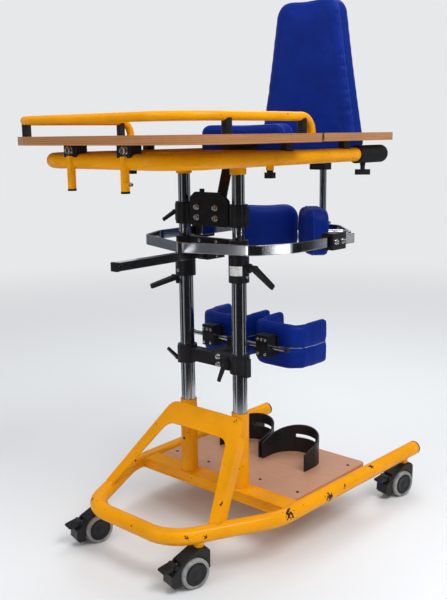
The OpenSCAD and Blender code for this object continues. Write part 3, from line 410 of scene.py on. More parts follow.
def board_finish(name, rgb, dark, ply_t, polish, step=None):
    """Veneered plywood: long grain on the faces, layers along the edges and painted shade behind a step."""
    f = Finish(name, Coat_Weight=0.2, Coat_Roughness=0.16, Specular_IOR_Level=0.25)
    fibre = f.cloud(9.0, 6.0, f.stretched((1.6, 26.0, 26.0)))
    figure = f.cloud(3.2, 3.0, f.stretched((0.8, 6.0, 6.0)))
    strand = f.between((figure * 90.0 + fibre * 9.0).wave(), -0.4, 1.0)
    face = f.mix(strand * 0.35 + fibre * 0.3, rgba(rgb), rgba(rgb, dark))
    layer = f.between((f.height() * (TURN / ply_t)).wave(), -0.25, 0.25)
    streak = f.between(f.cloud(5.0, 3.0, f.stretched((1.0, 1.0, 40.0))), 0.3, 0.7)
    edge = f.mix(layer * 0.3 + streak * 0.3, rgba(rgb, 1.3), rgba(rgb, dark * 0.8))
    on_edge = 1 - f.between(f.upright(), 0.3, 0.6)
    board = f.mix(on_edge, face, edge)
    if step:
        # Painted shade: the edge just behind the tray's step is darkened where the step shades it
        step_shade = f.between(f.near(at(*step), STEP_SHADE_REACH), 0.2, 0.5)
        board = f.mix(step_shade, board, rgba(rgb, 0.12))
    f.feed(
        Base_Color=board,
        Roughness=polish + fibre * 0.2,
        Normal=f.bump(fibre * 0.5 + layer * on_edge * 0.3, 0.12, 0.0006, f.eased(0.0014)))
    return f.material


def label_film():
    tone = colours()
    f = Finish("label_film", Coat_Weight=0.3, Coat_Roughness=0.15)
    rub = f.cloud(120.0, 4.0)
    f.feed(
        Base_Color=f.mix(f.between(rub, 0.4, 0.75), rgba(tone.film), rgba(tone.film, 0.72)),
        Roughness=0.3 + rub * 0.2)
    return f.material


FINISHES = {}


def make_finishes():
    tone = colours()
    FINISHES.update(
        yellow_paint=yellow_paint(),
        chrome=plating("bright_chrome", tone.chrome, 0.05),
        ring=plating("ring_chrome", tone.chrome, 0.05, 0.004),
        zinc=plating("zinc_plate", tone.zinc, 0.16),
        moulding=black_finish("black_moulding", tone.moulding, 0.34, 700.0, 0.0003, 0.028),
        enamel=black_finish("black_enamel", tone.enamel, 0.24, 240.0, 0.0004, 0.024),
        grip=black_finish("black_grip", tone.grip, 0.5, 900.0, 0.0006, 0.012),
        vinyl=blue_vinyl(),
        piping=piping_vinyl("piping_vinyl", tone.piping),
        cord=piping_vinyl("groove_cord", tone.cord),
        tread=grey_tread(),
        laminate=board_finish("footplate_laminate", tone.laminate, 0.82, 0.0024, 0.34),
        tray=board_finish("tray_veneer", tone.tray, 0.62, 0.0044, 0.26, TRAY_STEP),
        film=label_film(),
    )


SLOT_FINISH = {
    "yellow_paint": "yellow_paint", "chrome": "chrome", "black_plastic": "moulding",
    "black_metal": "enamel", "blue_vinyl": "vinyl", "grey_tyre": "tread",
    "beige_ply": "laminate", "brown_ply": "tray",
}
NODE_FINISH = {"end_sleeves": "grip", "hip_ring": "ring"}


# Modelling


def as_object(bm, name):
    """Turns a bmesh into an object at the origin."""
    mesh = bpy.data.meshes.new(name)
    bm.to_mesh(mesh)
    bm.free()
    made = bpy.data.objects.new(name, mesh)
    bpy.context.scene.collection.objects.link(made)
    return made


def finished(bm, name, finish, body):
    """Turns a bmesh into a piece that rides on a body."""
    bmesh.ops.remove_doubles(bm, verts=bm.verts, dist=PIECE_MERGE)
    bmesh.ops.recalc_face_normals(bm, faces=bm.faces)
    piece = as_object(bm, name)
    piece.data.shade_smooth()
    piece.data.set_sharp_from_angle(angle=SHARP_ANGLE)
    piece.data.materials.append(FINISHES[finish])
    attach(piece, body)
    return piece


def turned(bm, outline, place, steps=32, angle=TURN, hexagon=None):
    """Spins an outline of (radius, height) millimetres about the local Z axis of a place.

    The points at the radius given as hexagon are drawn in to a hexagon's sides.
    """
    before = set(bm.verts)
    knots = [bm.verts.new((r * MM, 0, h * MM)) for r, h in outline]
    edges = [bm.edges.new(pair) for pair in zip(knots, knots[1:])]
    bmesh.ops.spin(
        bm, geom=knots + edges, cent=(0, 0, 0), axis=(0, 0, 1), angle=angle, steps=steps,
        use_merge=angle == TURN)
    made = [v for v in bm.verts if v not in before]
    if hexagon:
        half = TURN / 12
        for v in made:
            if abs(math.hypot(v.co.x, v.co.y) - hexagon * MM) < 0.01 * MM:
                off = (math.atan2(v.co.y, v.co.x) + half) % (2 * half) - half
                v.co.x *= math.cos(half) / math.cos(off)
                v.co.y *= math.cos(half) / math.cos(off)
    bmesh.ops.transform(bm, matrix=place, verts=made)


def cap_screw(bm, point, direction, width, height, washer=0.0):
    """Socket head screw, with a washer under its head where one is wanted."""
    r = width / 2
    socket = 0.52 * r
    base = 0.0
    place = facing(point, direction)
    if washer:
        base = 1.4
        rim = washer / 2
        turned(bm, [(r * 0.6, base), (rim - 0.3, base), (rim, base - 0.3), (rim, -0.5)], place, 24)
    top = base + height
    depth = base + height * 0.35
    turned(
        bm,
        [(0, depth), (socket, depth), (socket, top), (r - 0.6, top), (r - 0.15, top - 0.3), (r, top - 0.9),
         (r, base - 0.5)],
        place, 24, hexagon=socket)


def domed_screw(bm, point, direction, width, height):
    """Domed screw with a small socket in its head, as on the footplate."""
    r = width / 2
    turned(
        bm,
        [(0, height * 0.45), (0.3 * r, height * 0.45), (0.36 * r, height), (0.62 * r, 0.93 * height),
         (0.86 * r, 0.66 * height), (r, 0.2 * height), (r, -0.5)],
        facing(point, direction), 20, hexagon=0.3 * r)


def swept(bm, points, radius, closed=False, ripple=0.0):
    """Adds a round bead along points, rippled like a weld where asked."""
    curve = bpy.data.curves.new("line", "CURVE")
    curve.dimensions = "3D"
    curve.bevel_depth = radius
    curve.bevel_resolution = 2
    curve.use_fill_caps = not closed
    line = curve.splines.new("POLY")
    line.points.add(len(points) - 1)
    for i, (knot, point) in enumerate(zip(line.points, points)):
        knot.co = (*point, 1)
        knot.radius = 1 + ripple * (0.6 * math.cos(2.1 * i) + 0.4 * math.sin(1.3 * i))
    line.use_cyclic_u = closed
    holder = bpy.data.objects.new("line", curve)
    bpy.context.scene.collection.objects.link(holder)
    graph = bpy.context.evaluated_depsgraph_get()
    mesh = bpy.data.meshes.new_from_object(holder.evaluated_get(graph))
    bm.from_mesh(mesh)
    bpy.data.objects.remove(holder)
    bpy.data.curves.remove(curve)
    bpy.data.meshes.remove(mesh)


def even_line(points, step, closed=False):
    """The same line with its points a step apart."""
    knots = points + points[:1] if closed else points
    total = sum((b - a).length for a, b in zip(knots, knots[1:]))
    count = max(2, round(total / step))
    wanted = count if closed else count + 1
    placed = []
    walked = 0.0
    for a, b in zip(knots, knots[1:]):
        span = (b - a).length
        while len(placed) < wanted and len(placed) * total / count <= walked + span + 1e-9:
            placed.append(a.lerp(b, (len(placed) * total / count - walked) / max(span, 1e-9)))
        walked += span
    return placed


def merged_copy(node, side=0):
    """A merged copy of a CAD node, or of its half on one side."""
    bm = bmesh.new()
    bm.from_mesh(frame["nodes"][node].data)
    bmesh.ops.remove_doubles(bm, verts=bm.verts, dist=CAD_MERGE)
    if side:
        far = [v for v in bm.verts if v.co.x * side < 0]
        bmesh.ops.delete(bm, geom=far, context="VERTS")
    return bm


def seam_lines(node, touching):
    """Lines of a node's sharp edges that touch the piece it is welded to."""
    bm = merged_copy(node)
    bm.verts.index_update()
    bm.edges.index_update()
    edges = {
        e for e in bm.edges
        if len(e.link_faces) == 2 and e.calc_face_angle() > math.radians(20)
        and all(touching(v.co) for v in e.verts)}
    lines = []
    while edges:
        knots = {v for e in edges for v in e.verts}
        tips = [v for v in knots if sum(e in edges for e in v.link_edges) == 1]
        v = min(tips or knots, key=lambda k: k.index)
        line = [v.co.copy()]
        onward = [e for e in v.link_edges if e in edges]
        while onward:
            e = min(onward, key=lambda k: k.index)
            edges.discard(e)
            v = e.other_vert(v)
            line.append(v.co.copy())
            onward = [k for k in v.link_edges if k in edges]
        lines.append(line)
    bm.free()
    return lines


# Soft pads

CLOTH_PRESSURE = 4
CLOTH_FRAMES = 20
DRAWN_SHARE = 0.9
PUCKER_REACH = 22 * MM
WELT_STEP = 3.5 * MM


def smoothed(bm, factor, rounds):
    for _ in range(rounds):
        bmesh.ops.smooth_vert(
            bm, verts=bm.verts, factor=factor, use_axis_x=True, use_axis_y=True, use_axis_z=True)


def remeshed(piece, voxel):
    """Rebuilds a piece's mesh on a voxel grid and smooths the grid away."""
    grid = piece.modifiers.new("grid", "REMESH")
    grid.mode = "VOXEL"
    grid.voxel_size = voxel
    graph = bpy.context.evaluated_depsgraph_get()
    mesh = bpy.data.meshes.new_from_object(piece.evaluated_get(graph))
    piece.modifiers.remove(grid)
    bm = bmesh.new()
    bm.from_mesh(mesh)
    smoothed(bm, 0.5, 4)
    bm.to_mesh(mesh)
    bm.free()
    piece.data = mesh


def blown_up(piece, held, cap):
    """Runs cloth under pressure over a piece, with the held points pinned and the travel capped."""
    pins = piece.vertex_groups.new(name="held")
    pins.add([v.index for v in piece.data.vertices if held(v.co)], 1.0, "REPLACE")
    cloth = piece.modifiers.new("cloth", "CLOTH")
    fabric = cloth.settings
    fabric.quality = 5
    fabric.mass = 0.3
    fabric.tension_stiffness = 15
    fabric.compression_stiffness = 15
    fabric.bending_stiffness = 0.5
    fabric.use_pressure = True
    fabric.uniform_pressure_force = CLOTH_PRESSURE
    fabric.effector_weights.gravity = 0
    fabric.vertex_group_mass = "held"
    scene = bpy.context.scene
    for step in range(1, CLOTH_FRAMES + 1):
        scene.frame_set(step)
    graph = bpy.context.evaluated_depsgraph_get()
    shape = [v.co.copy() for v in piece.evaluated_get(graph).data.vertices]
    piece.modifiers.remove(cloth)
    for v, target in zip(piece.data.vertices, shape):
        move = target - v.co
        if move.length > cap:
            move *= cap / move.length
        v.co += move
    scene.frame_set(1)
    piece.vertex_groups.remove(pins)


def drawn_out(piece, solid, held, proud):
    """Draws a swollen piece out to its solid's faces, or a little proud of them along each axis."""
    for v in piece.data.vertices:
        spot, normal, _, _ = solid.find_nearest(v.co)
        reach = 0 if held(v.co) else sum(abs(n) * p for n, p in zip(normal, proud)) * MM
        short = (spot - v.co).dot(normal) + reach
        if short > 0:
            v.co += normal * short * DRAWN_SHARE


def pushed_out(piece, reach, smoothing=0):
    """Moves a piece's points along their normals by what reach gives, then smooths it."""
    bm = bmesh.new()
    bm.from_mesh(piece.data)
    bm.normal_update()
    for v in bm.verts:
        v.co += v.normal * reach(v.co)
    smoothed(bm, 0.4, smoothing)
    bm.to_mesh(piece.data)
    bm.free()


def pad(name, bm, node, body, held, wrinkle, proud=(0, 0, 0)):
    """A swollen vinyl pad from its start shape, in place of its solid."""
    size = sizes()
    solid = BVHTree.FromBMesh(bm)
    for v in bm.verts:
        v.co -= v.normal * size.shrink
    piece = as_object(bm, name)
    remeshed(piece, size.voxel)
    blown_up(piece, held, size.swell_cap)
    drawn_out(piece, solid, held, proud)
    pushed_out(piece, wrinkle, 2)
    piece.data.shade_smooth()
    piece.data.materials.append(FINISHES["vinyl"])
    smooth = piece.modifiers.new("smooth", "SUBSURF")
    smooth.levels = 1
    smooth.render_levels = 1
    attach(piece, body)
    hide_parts(node)
    return piece


def cut_line(piece, point, normal):
    """The lines where a plane cuts a piece, as a bmesh of edges alone."""
    bm = bmesh.new()
    bm.from_object(piece, bpy.context.evaluated_depsgraph_get())
    bmesh.ops.bisect_plane(
        bm, geom=bm.verts[:] + bm.edges[:] + bm.faces[:], plane_co=point, plane_no=normal,
        clear_inner=True, clear_outer=True)
    return bm


def loop_points(bm):
    """Points of the longest closed line in a bmesh of edges, in order."""
    best = []
    left = set(bm.verts)
    while left:
        v = min(left, key=lambda k: k.index)
        chain = []
        while v in left:
            left.discard(v)
            chain.append(v.co.copy())
            onward = [e.other_vert(v) for e in v.link_edges if e.other_vert(v) in left]
            if onward:
                v = onward[0]
        if len(chain) > len(best):
            best = chain
    return best


def welt(bm, piece, point, normal, radius):
    """Lays a welt round a piece where a plane cuts it."""
    line = cut_line(piece, point, normal)
    line.verts.index_update()
    points = even_line(loop_points(line), WELT_STEP, closed=True)
    line.free()
    for _ in range(6):
        points = [
            points[k] * 0.5 + (points[k - 1] + points[(k + 1) % len(points)]) * 0.25
            for k in range(len(points))]
    swept(bm, points, radius, closed=True)


def pucker(spot, reach, depth, pitch):
    """A pucker that dies away from a seam."""
    return depth * math.exp(-(reach / PUCKER_REACH) ** 2) * noise.noise(spot * (1 / pitch))


# Operators


class StandOperator:
    """What the frame's operators share"""

    bl_options = {"REGISTER", "UNDO"}


class STAND_OT_stage(StandOperator, bpy.types.Operator):
    """Lays the pale floor, hangs the lamps and sets the camera"""

    bl_idname = "stand.stage"
    bl_label = "Stage"

    CAMERA = (1441.8, -1552.4, 1046.5)
    AZIMUTH = 42.087
    TILT = 11.276
    ROLL = -0.742
    FOCAL_PIXELS = 832.4
    PICTURE_HEIGHT = 600
    FLOOR_HALF = 30
    FADE = (1.4, 5.0)
    PALE = (0.80, 0.808, 0.824)

    # How bright the world is from the horizon up
    SKY = ((0.0, 1.0), (0.16, 1.0), (0.30, 0.36), (0.55, 0.42), (1.0, 0.70))

    # Name, azimuth and height in degrees, distance and size in metres, power in watts
    LAMPS = (
        ("key", 78, 48, 3.4, 1.7, 74),
        ("fill", -14, 34, 3.6, 2.2, 26),
        ("rear", 205, 50, 3.4, 1.6, 34),
        ("top", 20, 86, 3.0, 2.0, 22),
    )
    AIM = Vector((0, 0, 0.7))

    # First and last azimuth of each screen in degrees, and the number of its shade
    SCREENS = (
        (-8, 5, 1), (5, 88, 0), (97, 137, 0), (146, 194, 1), (203, 241, 1), (250, 298, 1), (307, 343, 0),
    )
    SHADES = (0.014, 0.2)
    SCREEN_REACH = 1150
    SCREEN_HEIGHTS = (0, 1350)
    PANES = (8, 87)
    PANE_HALF_ANGLE = 1.5
    PANE_REACH = 1140
    PANE_HEIGHTS = (580, 680)
    PANE_GLOW = 9.0

    def execute(self, context):
        scene = context.scene
        scene.view_settings.view_transform = "Standard"
        self.floor()
        self.world(scene)
        for lamp in self.LAMPS:
            self.lamp(*lamp)
        self.screens()
        self.camera(scene)
        return {"FINISHED"}

    def floor(self):
        bm = bmesh.new()
        bmesh.ops.create_grid(bm, x_segments=8, y_segments=8, size=self.FLOOR_HALF)
        floor = as_object(bm, "floor")
        f = Finish("pale_floor", Roughness=0.7, Specular_IOR_Level=0.0)
        tone = colours().floor
        patch = f.cloud(0.8, 2.0)
        f.feed(Base_Color=f.mix(patch * 0.3, rgba(tone), rgba(tone, 0.96)))
        away = f.node("ShaderNodeVectorMath", {"operation": "LENGTH"}, {0: f.place}, output="Value")
        f.veil(f.between(away, *self.FADE) * f.rays(), self.PALE)
        floor.data.materials.append(f.material)

    def world(self, scene):
        world = bpy.data.worlds.new("studio")
        scene.world = world
        world.use_nodes = True
        sky = Wiring(world.node_tree)
        direction = sky.node("ShaderNodeTexCoord", output="Generated")
        height = sky.node("ShaderNodeSeparateXYZ", None, {0: direction}, output="Z")
        stops = [(where, rgba(self.PALE, level)) for where, level in self.SKY]
        shade = sky.node("ShaderNodeValToRGB", {"stops": stops}, {"Fac": height})
        background = sky.tree.nodes["Background"]
        background.inputs["Strength"].default_value = 1.0
        sky.tree.links.new(shade.socket, background.inputs["Color"])

    def lamp(self, name, azimuth, height, distance, size, power):
        light = bpy.data.lights.new(name, "AREA")
        light.shape = "SQUARE"
        light.size = size
        light.energy = power
        lamp = bpy.data.objects.new(name, light)
        a = math.radians(azimuth)
        e = math.radians(height)
        offset = Vector((math.sin(a) * math.cos(e), -math.cos(a) * math.cos(e), math.sin(e))) * distance
        lamp.location = self.AIM + offset
        lamp.rotation_euler = offset.to_track_quat("Z", "Y").to_euler()
        bpy.context.scene.collection.objects.link(lamp)

    def arc(self, bm, start, end, reach, heights, steps, shade):
        """Stands a strip of faces between two azimuths and gives it a shade."""
        before = set(bm.faces)
        place = Matrix.Rotation(math.radians(start - 90), 4, "Z")
        turned(bm, [(reach, height) for height in heights], place, steps, math.radians(end - start))
        for face in set(bm.faces) - before:
            face.material_index = shade

    def screens(self):
        """Dark screens with bright panes, which only polished surfaces see, as in a product studio."""
        bm = bmesh.new()
        for start, end, shade in self.SCREENS:
            self.arc(bm, start, end, self.SCREEN_REACH, self.SCREEN_HEIGHTS, 8, shade)
        for azimuth in self.PANES:
            start = azimuth - self.PANE_HALF_ANGLE
            end = azimuth + self.PANE_HALF_ANGLE
            self.arc(bm, start, end, self.PANE_REACH, self.PANE_HEIGHTS, 1, len(self.SHADES))
        screens = as_object(bm, "screens")
        for shade in self.SHADES:
            f = Finish("dark_screens", Base_Color=rgba((1, 1.1, 1.2), shade), Roughness=0.9)
            screens.data.materials.append(f.material)
        lit = Finish("lit_panes", Emission_Color=rgba((1, 1, 1)), Emission_Strength=self.PANE_GLOW)
        screens.data.materials.append(lit.material)
        screens.visible_camera = False
        screens.visible_diffuse = False
        screens.visible_shadow = False
        screens.visible_transmission = False

    def camera(self, scene):
        a = math.radians(self.AZIMUTH)
        t = math.radians(self.TILT)
        roll = math.radians(self.ROLL)
        ahead = Vector((-math.sin(a) * math.cos(t), math.cos(a) * math.cos(t), -math.sin(t)))
        right = Vector((math.cos(a), math.sin(a), 0))
        up = right.cross(ahead)
        side = right * math.cos(roll) + up * math.sin(roll)
        top = up * math.cos(roll) - right * math.sin(roll)
        lens = bpy.data.cameras.new("camera")
        lens.sensor_width = 36
        lens.lens = self.FOCAL_PIXELS * lens.sensor_width / self.PICTURE_HEIGHT
        camera = bpy.data.objects.new("camera", lens)
        turn = Matrix((side, top, -ahead)).transposed().to_4x4()
        camera.matrix_world = Matrix.Translation(at(*self.CAMERA)) @ turn
        scene.collection.objects.link(camera)
        scene.camera = camera


class STAND_OT_finishes(StandOperator, bpy.types.Operator):
    """Gives every CAD node its paint, plating, plastic, rubber or wood"""

    bl_idname = "stand.finishes"
    bl_label = "Finishes"

    def execute(self, context):
        make_finishes()
        for row in frame["record"]["subparts"]:
            node = row["node"]
            finish = NODE_FINISH.get(node, SLOT_FINISH[row["material_slot"]])
            mesh = frame["nodes"][node].data
            mesh.materials.clear()
            mesh.materials.append(FINISHES[finish])
        return {"FINISHED"}


class STAND_OT_cushions(StandOperator, bpy.types.Operator):
    """Swells the backrest, the chest pad and the hip pads, and lays their welts"""

    bl_idname = "stand.cushions"
    bl_label = "Cushions"

    SEAM_SHARE = 0.70
    BACK_SEAM = 6.5 * MM
    HELD = 7 * MM

    def cushion(self, name, node, body, back, crown, thickness, fill, proud, side=0):
        """A boxed cushion with its back through a point and its crown in a direction."""
        crown = Vector(crown).normalized()
        seam = back + crown * thickness * self.SEAM_SHARE * MM

        def held(spot):
            return (spot - back).dot(crown) < self.HELD

        def wrinkle(spot):
            reach = abs((spot - seam).dot(crown))
            return pucker(spot, reach, 1.1 * MM, 0.016)

        piece = pad(name, merged_copy(node, side), node, body, held, wrinkle, proud)
        bm = bmesh.new()
        welt(bm, piece, seam, crown, sizes().piping_r)
        welt(bm, piece, back + crown * self.BACK_SEAM, crown, sizes().piping_r * 0.8)
        # The welt beads are geometry; their lighter blue is a painted highlight along the seams
        finished(bm, f"{name}_welts", "piping", body)

    def execute(self, context):
        bottom = low("backrest_pad")
        top = high("backrest_pad")
        back = at(0, top.y, (bottom.z + top.z) / 2)
        thick = top.y - bottom.y
        self.cushion(
            "backrest_cushion", "backrest_pad", "backrest", back, TO_FRONT, thick, 0.8, (11, 0, -4))
        bottom = low("chest_pad")
        top = high("chest_pad")
        back = at(0, bottom.y, (bottom.z + top.z) / 2)
        thick = top.y - bottom.y
        self.cushion(
            "chest_cushion", "chest_pad", "chest_support", back, TO_REAR, thick, 0.7, (2, 0, 0))
        for name, side in SIDES:
            crown = Vector((-side, -1, 0)).normalized()
            solid = merged_copy("hip_pads", side)
            depth = [v.co.dot(crown) for v in solid.verts]
            middle = sum((v.co for v in solid.verts), Vector()) / len(solid.verts)
            solid.free()
            back = middle + crown * (min(depth) - middle.dot(crown))
            thick = (max(depth) - min(depth)) / MM
            self.cushion(
                f"hip_cushion_{name}", "hip_pads", "rear_support", back, crown, thick, 0.8, (6, 6, 2), side)
        return {"FINISHED"}


class STAND_OT_knee_cups(StandOperator, bpy.types.Operator):
    """Swells the two knee cups, draws in their grooves and lays the cords in them"""

    bl_idname = "stand.knee_cups"
    bl_label = "Knee cups"

    GROOVE_SHARE = 0.485
    GROOVE = (3.2, 5)
    FOLD_SHARES = (0.03, 0.97)
    FOLD_DEPTH = 31
    HELD_DEPTH = 9
    HELD_HALF = 24

    def execute(self, context):
        for name, _ in SIDES:
            node = f"knee_pad_{name}"
            body = f"knee_side_{name}"
            bottom = low(node)
            top = high(node)
            mid_z = (bottom.z + (top.z - bottom.z) * self.GROOVE_SHARE) * MM
            fold_x = [(bottom.x + (top.x - bottom.x) * share) * MM for share in self.FOLD_SHARES]
            front = at(0, bottom.y, 0).y
            fold_y = front + self.FOLD_DEPTH * MM

            def held(spot):
                middle = sum(fold_x) / 2
                return spot.y < front + self.HELD_DEPTH * MM and abs(spot.x - middle) < self.HELD_HALF * MM

            def wrinkle(spot):
                depth, width = self.GROOVE
                groove = depth * MM * math.exp(-((spot.z - mid_z) / (width * MM)) ** 2)
                off = min(math.hypot(spot.x - x, spot.y - fold_y) for x in fold_x) / MM
                fold = 3.0 * math.exp(-(off / 7) ** 2) - 1.6 * math.exp(-((off - 24) / 10) ** 2)
                return pucker(spot, abs(spot.z - mid_z), 0.9 * MM, 0.014) - groove + fold * MM

            cup = pad(f"knee_cup_{name}", merged_copy(node), node, body, held, wrinkle)
            bm = bmesh.new()
            welt(bm, cup, Vector((0, 0, mid_z)), UP, sizes().cord_r)
            # The cord is painted pale, a painted highlight along the groove
            finished(bm, f"knee_cord_{name}", "cord", body)
        return {"FINISHED"}


class STAND_OT_heel_cups(StandOperator, bpy.types.Operator):
    """Stands the heel cups' walls on the footplate, open at the bottom"""

    bl_idname = "stand.heel_cups"
    bl_label = "Heel cups"

    FLOOR_TOP = 3.2 * MM

    def execute(self, context):
        bm = merged_copy("heel_cups")
        foot = low("heel_cups").z * MM
        bmesh.ops.bisect_plane(
            bm, geom=bm.verts[:] + bm.edges[:] + bm.faces[:], plane_co=(0, 0, foot + self.FLOOR_TOP),
            plane_no=UP, clear_inner=True)
        rim = [e for e in bm.edges if e.is_boundary]
        for e in rim:
            for v in e.verts:
                v.co.z = foot
        bmesh.ops.holes_fill(bm, edges=rim)
        walls = finished(bm, "heel_cup_walls", "moulding", "base")
        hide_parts("heel_cups")
        return {"FINISHED"}


class STAND_OT_welds(StandOperator, bpy.types.Operator):
    """Lays weld beads where the painted tubes and plates meet"""

    bl_idname = "stand.welds"
    bl_label = "Welds"

    # The base tube's bends on one side, its radius and height, and the table arms' place and radius
    TUBE_BENDS = ((141, -312), (269, -58), (282, 569))
    TUBE_R = 20
    TUBE_Z = 120
    ARM_X = 235
    ARM_R = 17.5
    HEAD_R = 20.6
    SKIN = 0.3
    STEP = 3.5 * MM
    RING_STEPS = 64

    def ring(self, bm, centre, radius, height=None):
        """A rippled bead round an upright tube, at one height or following a saddle."""
        points = []
        for k in range(self.RING_STEPS):
            a = TURN * k / self.RING_STEPS
            spot = Vector((radius * math.cos(a), radius * math.sin(a), 0)) * MM
            spot.z = height(spot.y / MM) * MM if height else 0
            points.append(centre + spot)
        swept(bm, points, sizes().bead_r, closed=True, ripple=0.16)

    def seam(self, bm, node, touching, radius):
        """A rippled bead along each line where a node touches its neighbour."""
        for line in seam_lines(node, touching):
            points = even_line(line, self.STEP)
            if len(points) > 4:
                swept(bm, points, radius, ripple=0.2)

    def on_tube(self, spot):
        """Whether a point lies on the skin of the base tube's straight runs."""
        x = abs(spot.x) / MM
        y = (spot.y - MAST_Y) / MM
        for (ax, ay), (bx, by) in zip(self.TUBE_BENDS, self.TUBE_BENDS[1:]):
            off = ((x - ax) * (by - ay) - (y - ay) * (bx - ax)) / math.hypot(bx - ax, by - ay)
            if abs(math.hypot(off, spot.z / MM - self.TUBE_Z) - self.TUBE_R) < self.SKIN:
                return True
        return False

    def on_socket(self, spot):
        """Whether a point lies on the skin of a mast socket."""
        off = math.hypot(abs(spot.x) / MM - MAST_X, (spot.y - MAST_Y) / MM)
        return abs(off - high("mast_sockets").x + MAST_X) < self.SKIN

    def execute(self, context):
        base = bmesh.new()
        bead = sizes().bead_r
        foot = low("mast_sockets").z + 0.5
        socket_r = high("mast_sockets").x - MAST_X
        for side in (-1, 1):
            self.ring(base, at(side * MAST_X, 0, foot), socket_r + self.SKIN)
        self.seam(base, "gusset_plate", self.on_tube, bead * 0.85)
        self.seam(base, "gusset_plate", self.on_socket, bead * 0.7)
        self.seam(base, "cross_members", self.on_tube, bead * 0.85)
        finished(base, "base_welds", "yellow_paint", "base")
        table = bmesh.new()
        sleeve = high("end_sleeves")
        frame_z = sleeve.z - (sleeve.x - self.ARM_X)

        def saddle(y):
            return -math.sqrt(max(self.ARM_R ** 2 - y ** 2, 0.0))

        for side in (-1, 1):
            self.ring(table, at(side * MAST_X, 0, frame_z), self.HEAD_R, saddle)
        r = self.ARM_R
        arm_seam = [(r - 0.3, -2.2), (r + 0.9, -1.2), (r + 0.9, 1.2), (r - 0.3, 2.2)]
        for name, side in SIDES:
            knob = (low(f"frame_knob_{name}") + high(f"frame_knob_{name}")) / 2
            turned(table, arm_seam, facing(at(side * self.ARM_X, knob.y, frame_z), TO_REAR), 48)
        finished(table, "table_welds", "yellow_paint", "table")
        return {"FINISHED"}


class STAND_OT_screws(StandOperator, bpy.types.Operator):
    """Sets the screws in the clamps, brackets and boards"""

    bl_idname = "stand.screws"
    bl_label = "Screws"

    # Places of the screws across and up the faces that they sit in
    CHEST_HOLES = [(x, z) for x in (-26, 37) for z in (866, 840)]
    KNEE_HOLES = ((31, 481.5), (31, 460.5))
    SLIDE_HOLES = ((-33, 779), (25, 779))
    TRAY_HOLES = ((-93, 1015), (93, 1015))
    BACK_HOLES = [(x, z) for x in (-33, 33) for z in (40, 180)]
    KNEE_FACE = -14
    SLIDE_FACE = -7
    KEEPER = Vector((17, -1, 744))
    COLLAR_R = 26.1
    COLLAR_Z = 697.5
    SOCKET_BOSS = (SOCKET_X + 15.5, SOCKET_Y, 943.5)
    PLATE_KNOB = (-12, -18.5, 904)
    CLAMP_INSETS = (14, 44)
    FOOT_INSETS = (24, 150)
    FOOT_END = 50

    def row(self, name, body, width, height, washer, spots, finish="zinc"):
        """One piece with a screw at each point, facing each direction."""
        bm = bmesh.new()
        for spot, direction in spots:
            cap_screw(bm, at(*spot), direction, width, height, washer)
        finished(bm, name, finish, body)

    def in_front(self, holes, y):
        """Points in a face that looks to the front."""
        return [((x, y, z), TO_FRONT) for x, z in holes]

    def execute(self, context):
        spots = self.in_front(self.CHEST_HOLES, low("chest_clamp").y)
        self.row("chest_screws", "chest_support", 12, 5.5, 16, spots)
        spots = self.in_front(self.KNEE_HOLES, self.KNEE_FACE)
        self.row("knee_clamp_screws", "knee_support", 11, 5, 15, spots)
        for name, _ in SIDES:
            top = high(f"knee_holder_{name}")
            bottom = low(f"knee_holder_{name}")
            middle = (top.x + bottom.x) / 2
            holes = [(middle + off, top.z - 11) for off in (-13, 0, 13)]
            holes += [(middle + off, bottom.z + 9) for off in (-12, 12)]
            spots = self.in_front(holes, bottom.y)
            self.row(f"knee_holder_screws_{name}", f"knee_side_{name}", 8, 4, 0, spots)
        spots = self.in_front(self.SLIDE_HOLES, self.SLIDE_FACE)
        for side in (1, -1):
            spots.append(((side * self.KEEPER.x, self.KEEPER.y, self.KEEPER.z), (side, 0, 0)))
        spots.append(((MAST_X + self.COLLAR_R, 0, self.COLLAR_Z), (1, 0, 0)))
        spots.append(((-MAST_X, -self.COLLAR_R, self.COLLAR_Z), TO_FRONT))
        self.row("bracket_screws", "base", 9, 4, 0, spots)
        spots = self.in_front(self.TRAY_HOLES, low("tray_brackets").y)
        self.row("tray_bracket_bolts", "table", 17, 6, 22, spots)
        self.row("socket_screw", "table", 8, 6, 0, [(self.SOCKET_BOSS, (1, 0, 0))])
        clamp = high("ring_clamps")
        clamp_z = (clamp.z + low("ring_clamps").z) / 2
        spots = [((side * clamp.x, clamp.y - inset, clamp_z), (side, 0, 0))
                 for side in (-1, 1) for inset in self.CLAMP_INSETS]
        self.row("ring_clamp_screws", "rear_support", 11, 5, 15, spots)
        back = high("backrest_pad").y + 4.1
        foot = low("backrest_pad").z
        spots = [((x, back, foot + z), TO_REAR) for x, z in self.BACK_HOLES]
        self.row("backrest_screws", "backrest", 11, 4, 15, spots)
        self.row("chest_plate_knob", "chest_support", 13, 8, 0, [(self.PLATE_KNOB, UP)], "enamel")
        bm = bmesh.new()
        edge = high("footplate")
        for side in (-1, 1):
            for y in (low("footplate").y + self.FOOT_END, edge.y - self.FOOT_END):
                for inset in self.FOOT_INSETS:
                    domed_screw(bm, at(side * (edge.x - inset), y, edge.z), UP, 9, 2)
        finished(bm, "footplate_screws", "enamel", "base")
        return {"FINISHED"}


class STAND_OT_label(StandOperator, bpy.types.Operator):
    """Sticks the blank label on the right collar"""

    bl_idname = "stand.label"
    bl_label = "Label"

    HEIGHTS = (701, 725)
    START = math.radians(-111)
    SPAN = math.radians(80)
    FILM = 0.25

    def execute(self, context):
        bm = bmesh.new()
        radius = high("mast_collars").y + self.FILM
        place = Matrix.Translation(at(MAST_X, 0, 0)) @ Matrix.Rotation(self.START, 4, "Z")
        turned(bm, [(radius, height) for height in self.HEIGHTS], place, 20, self.SPAN)
        finished(bm, "blank_label", "film", "base")
        return {"FINISHED"}


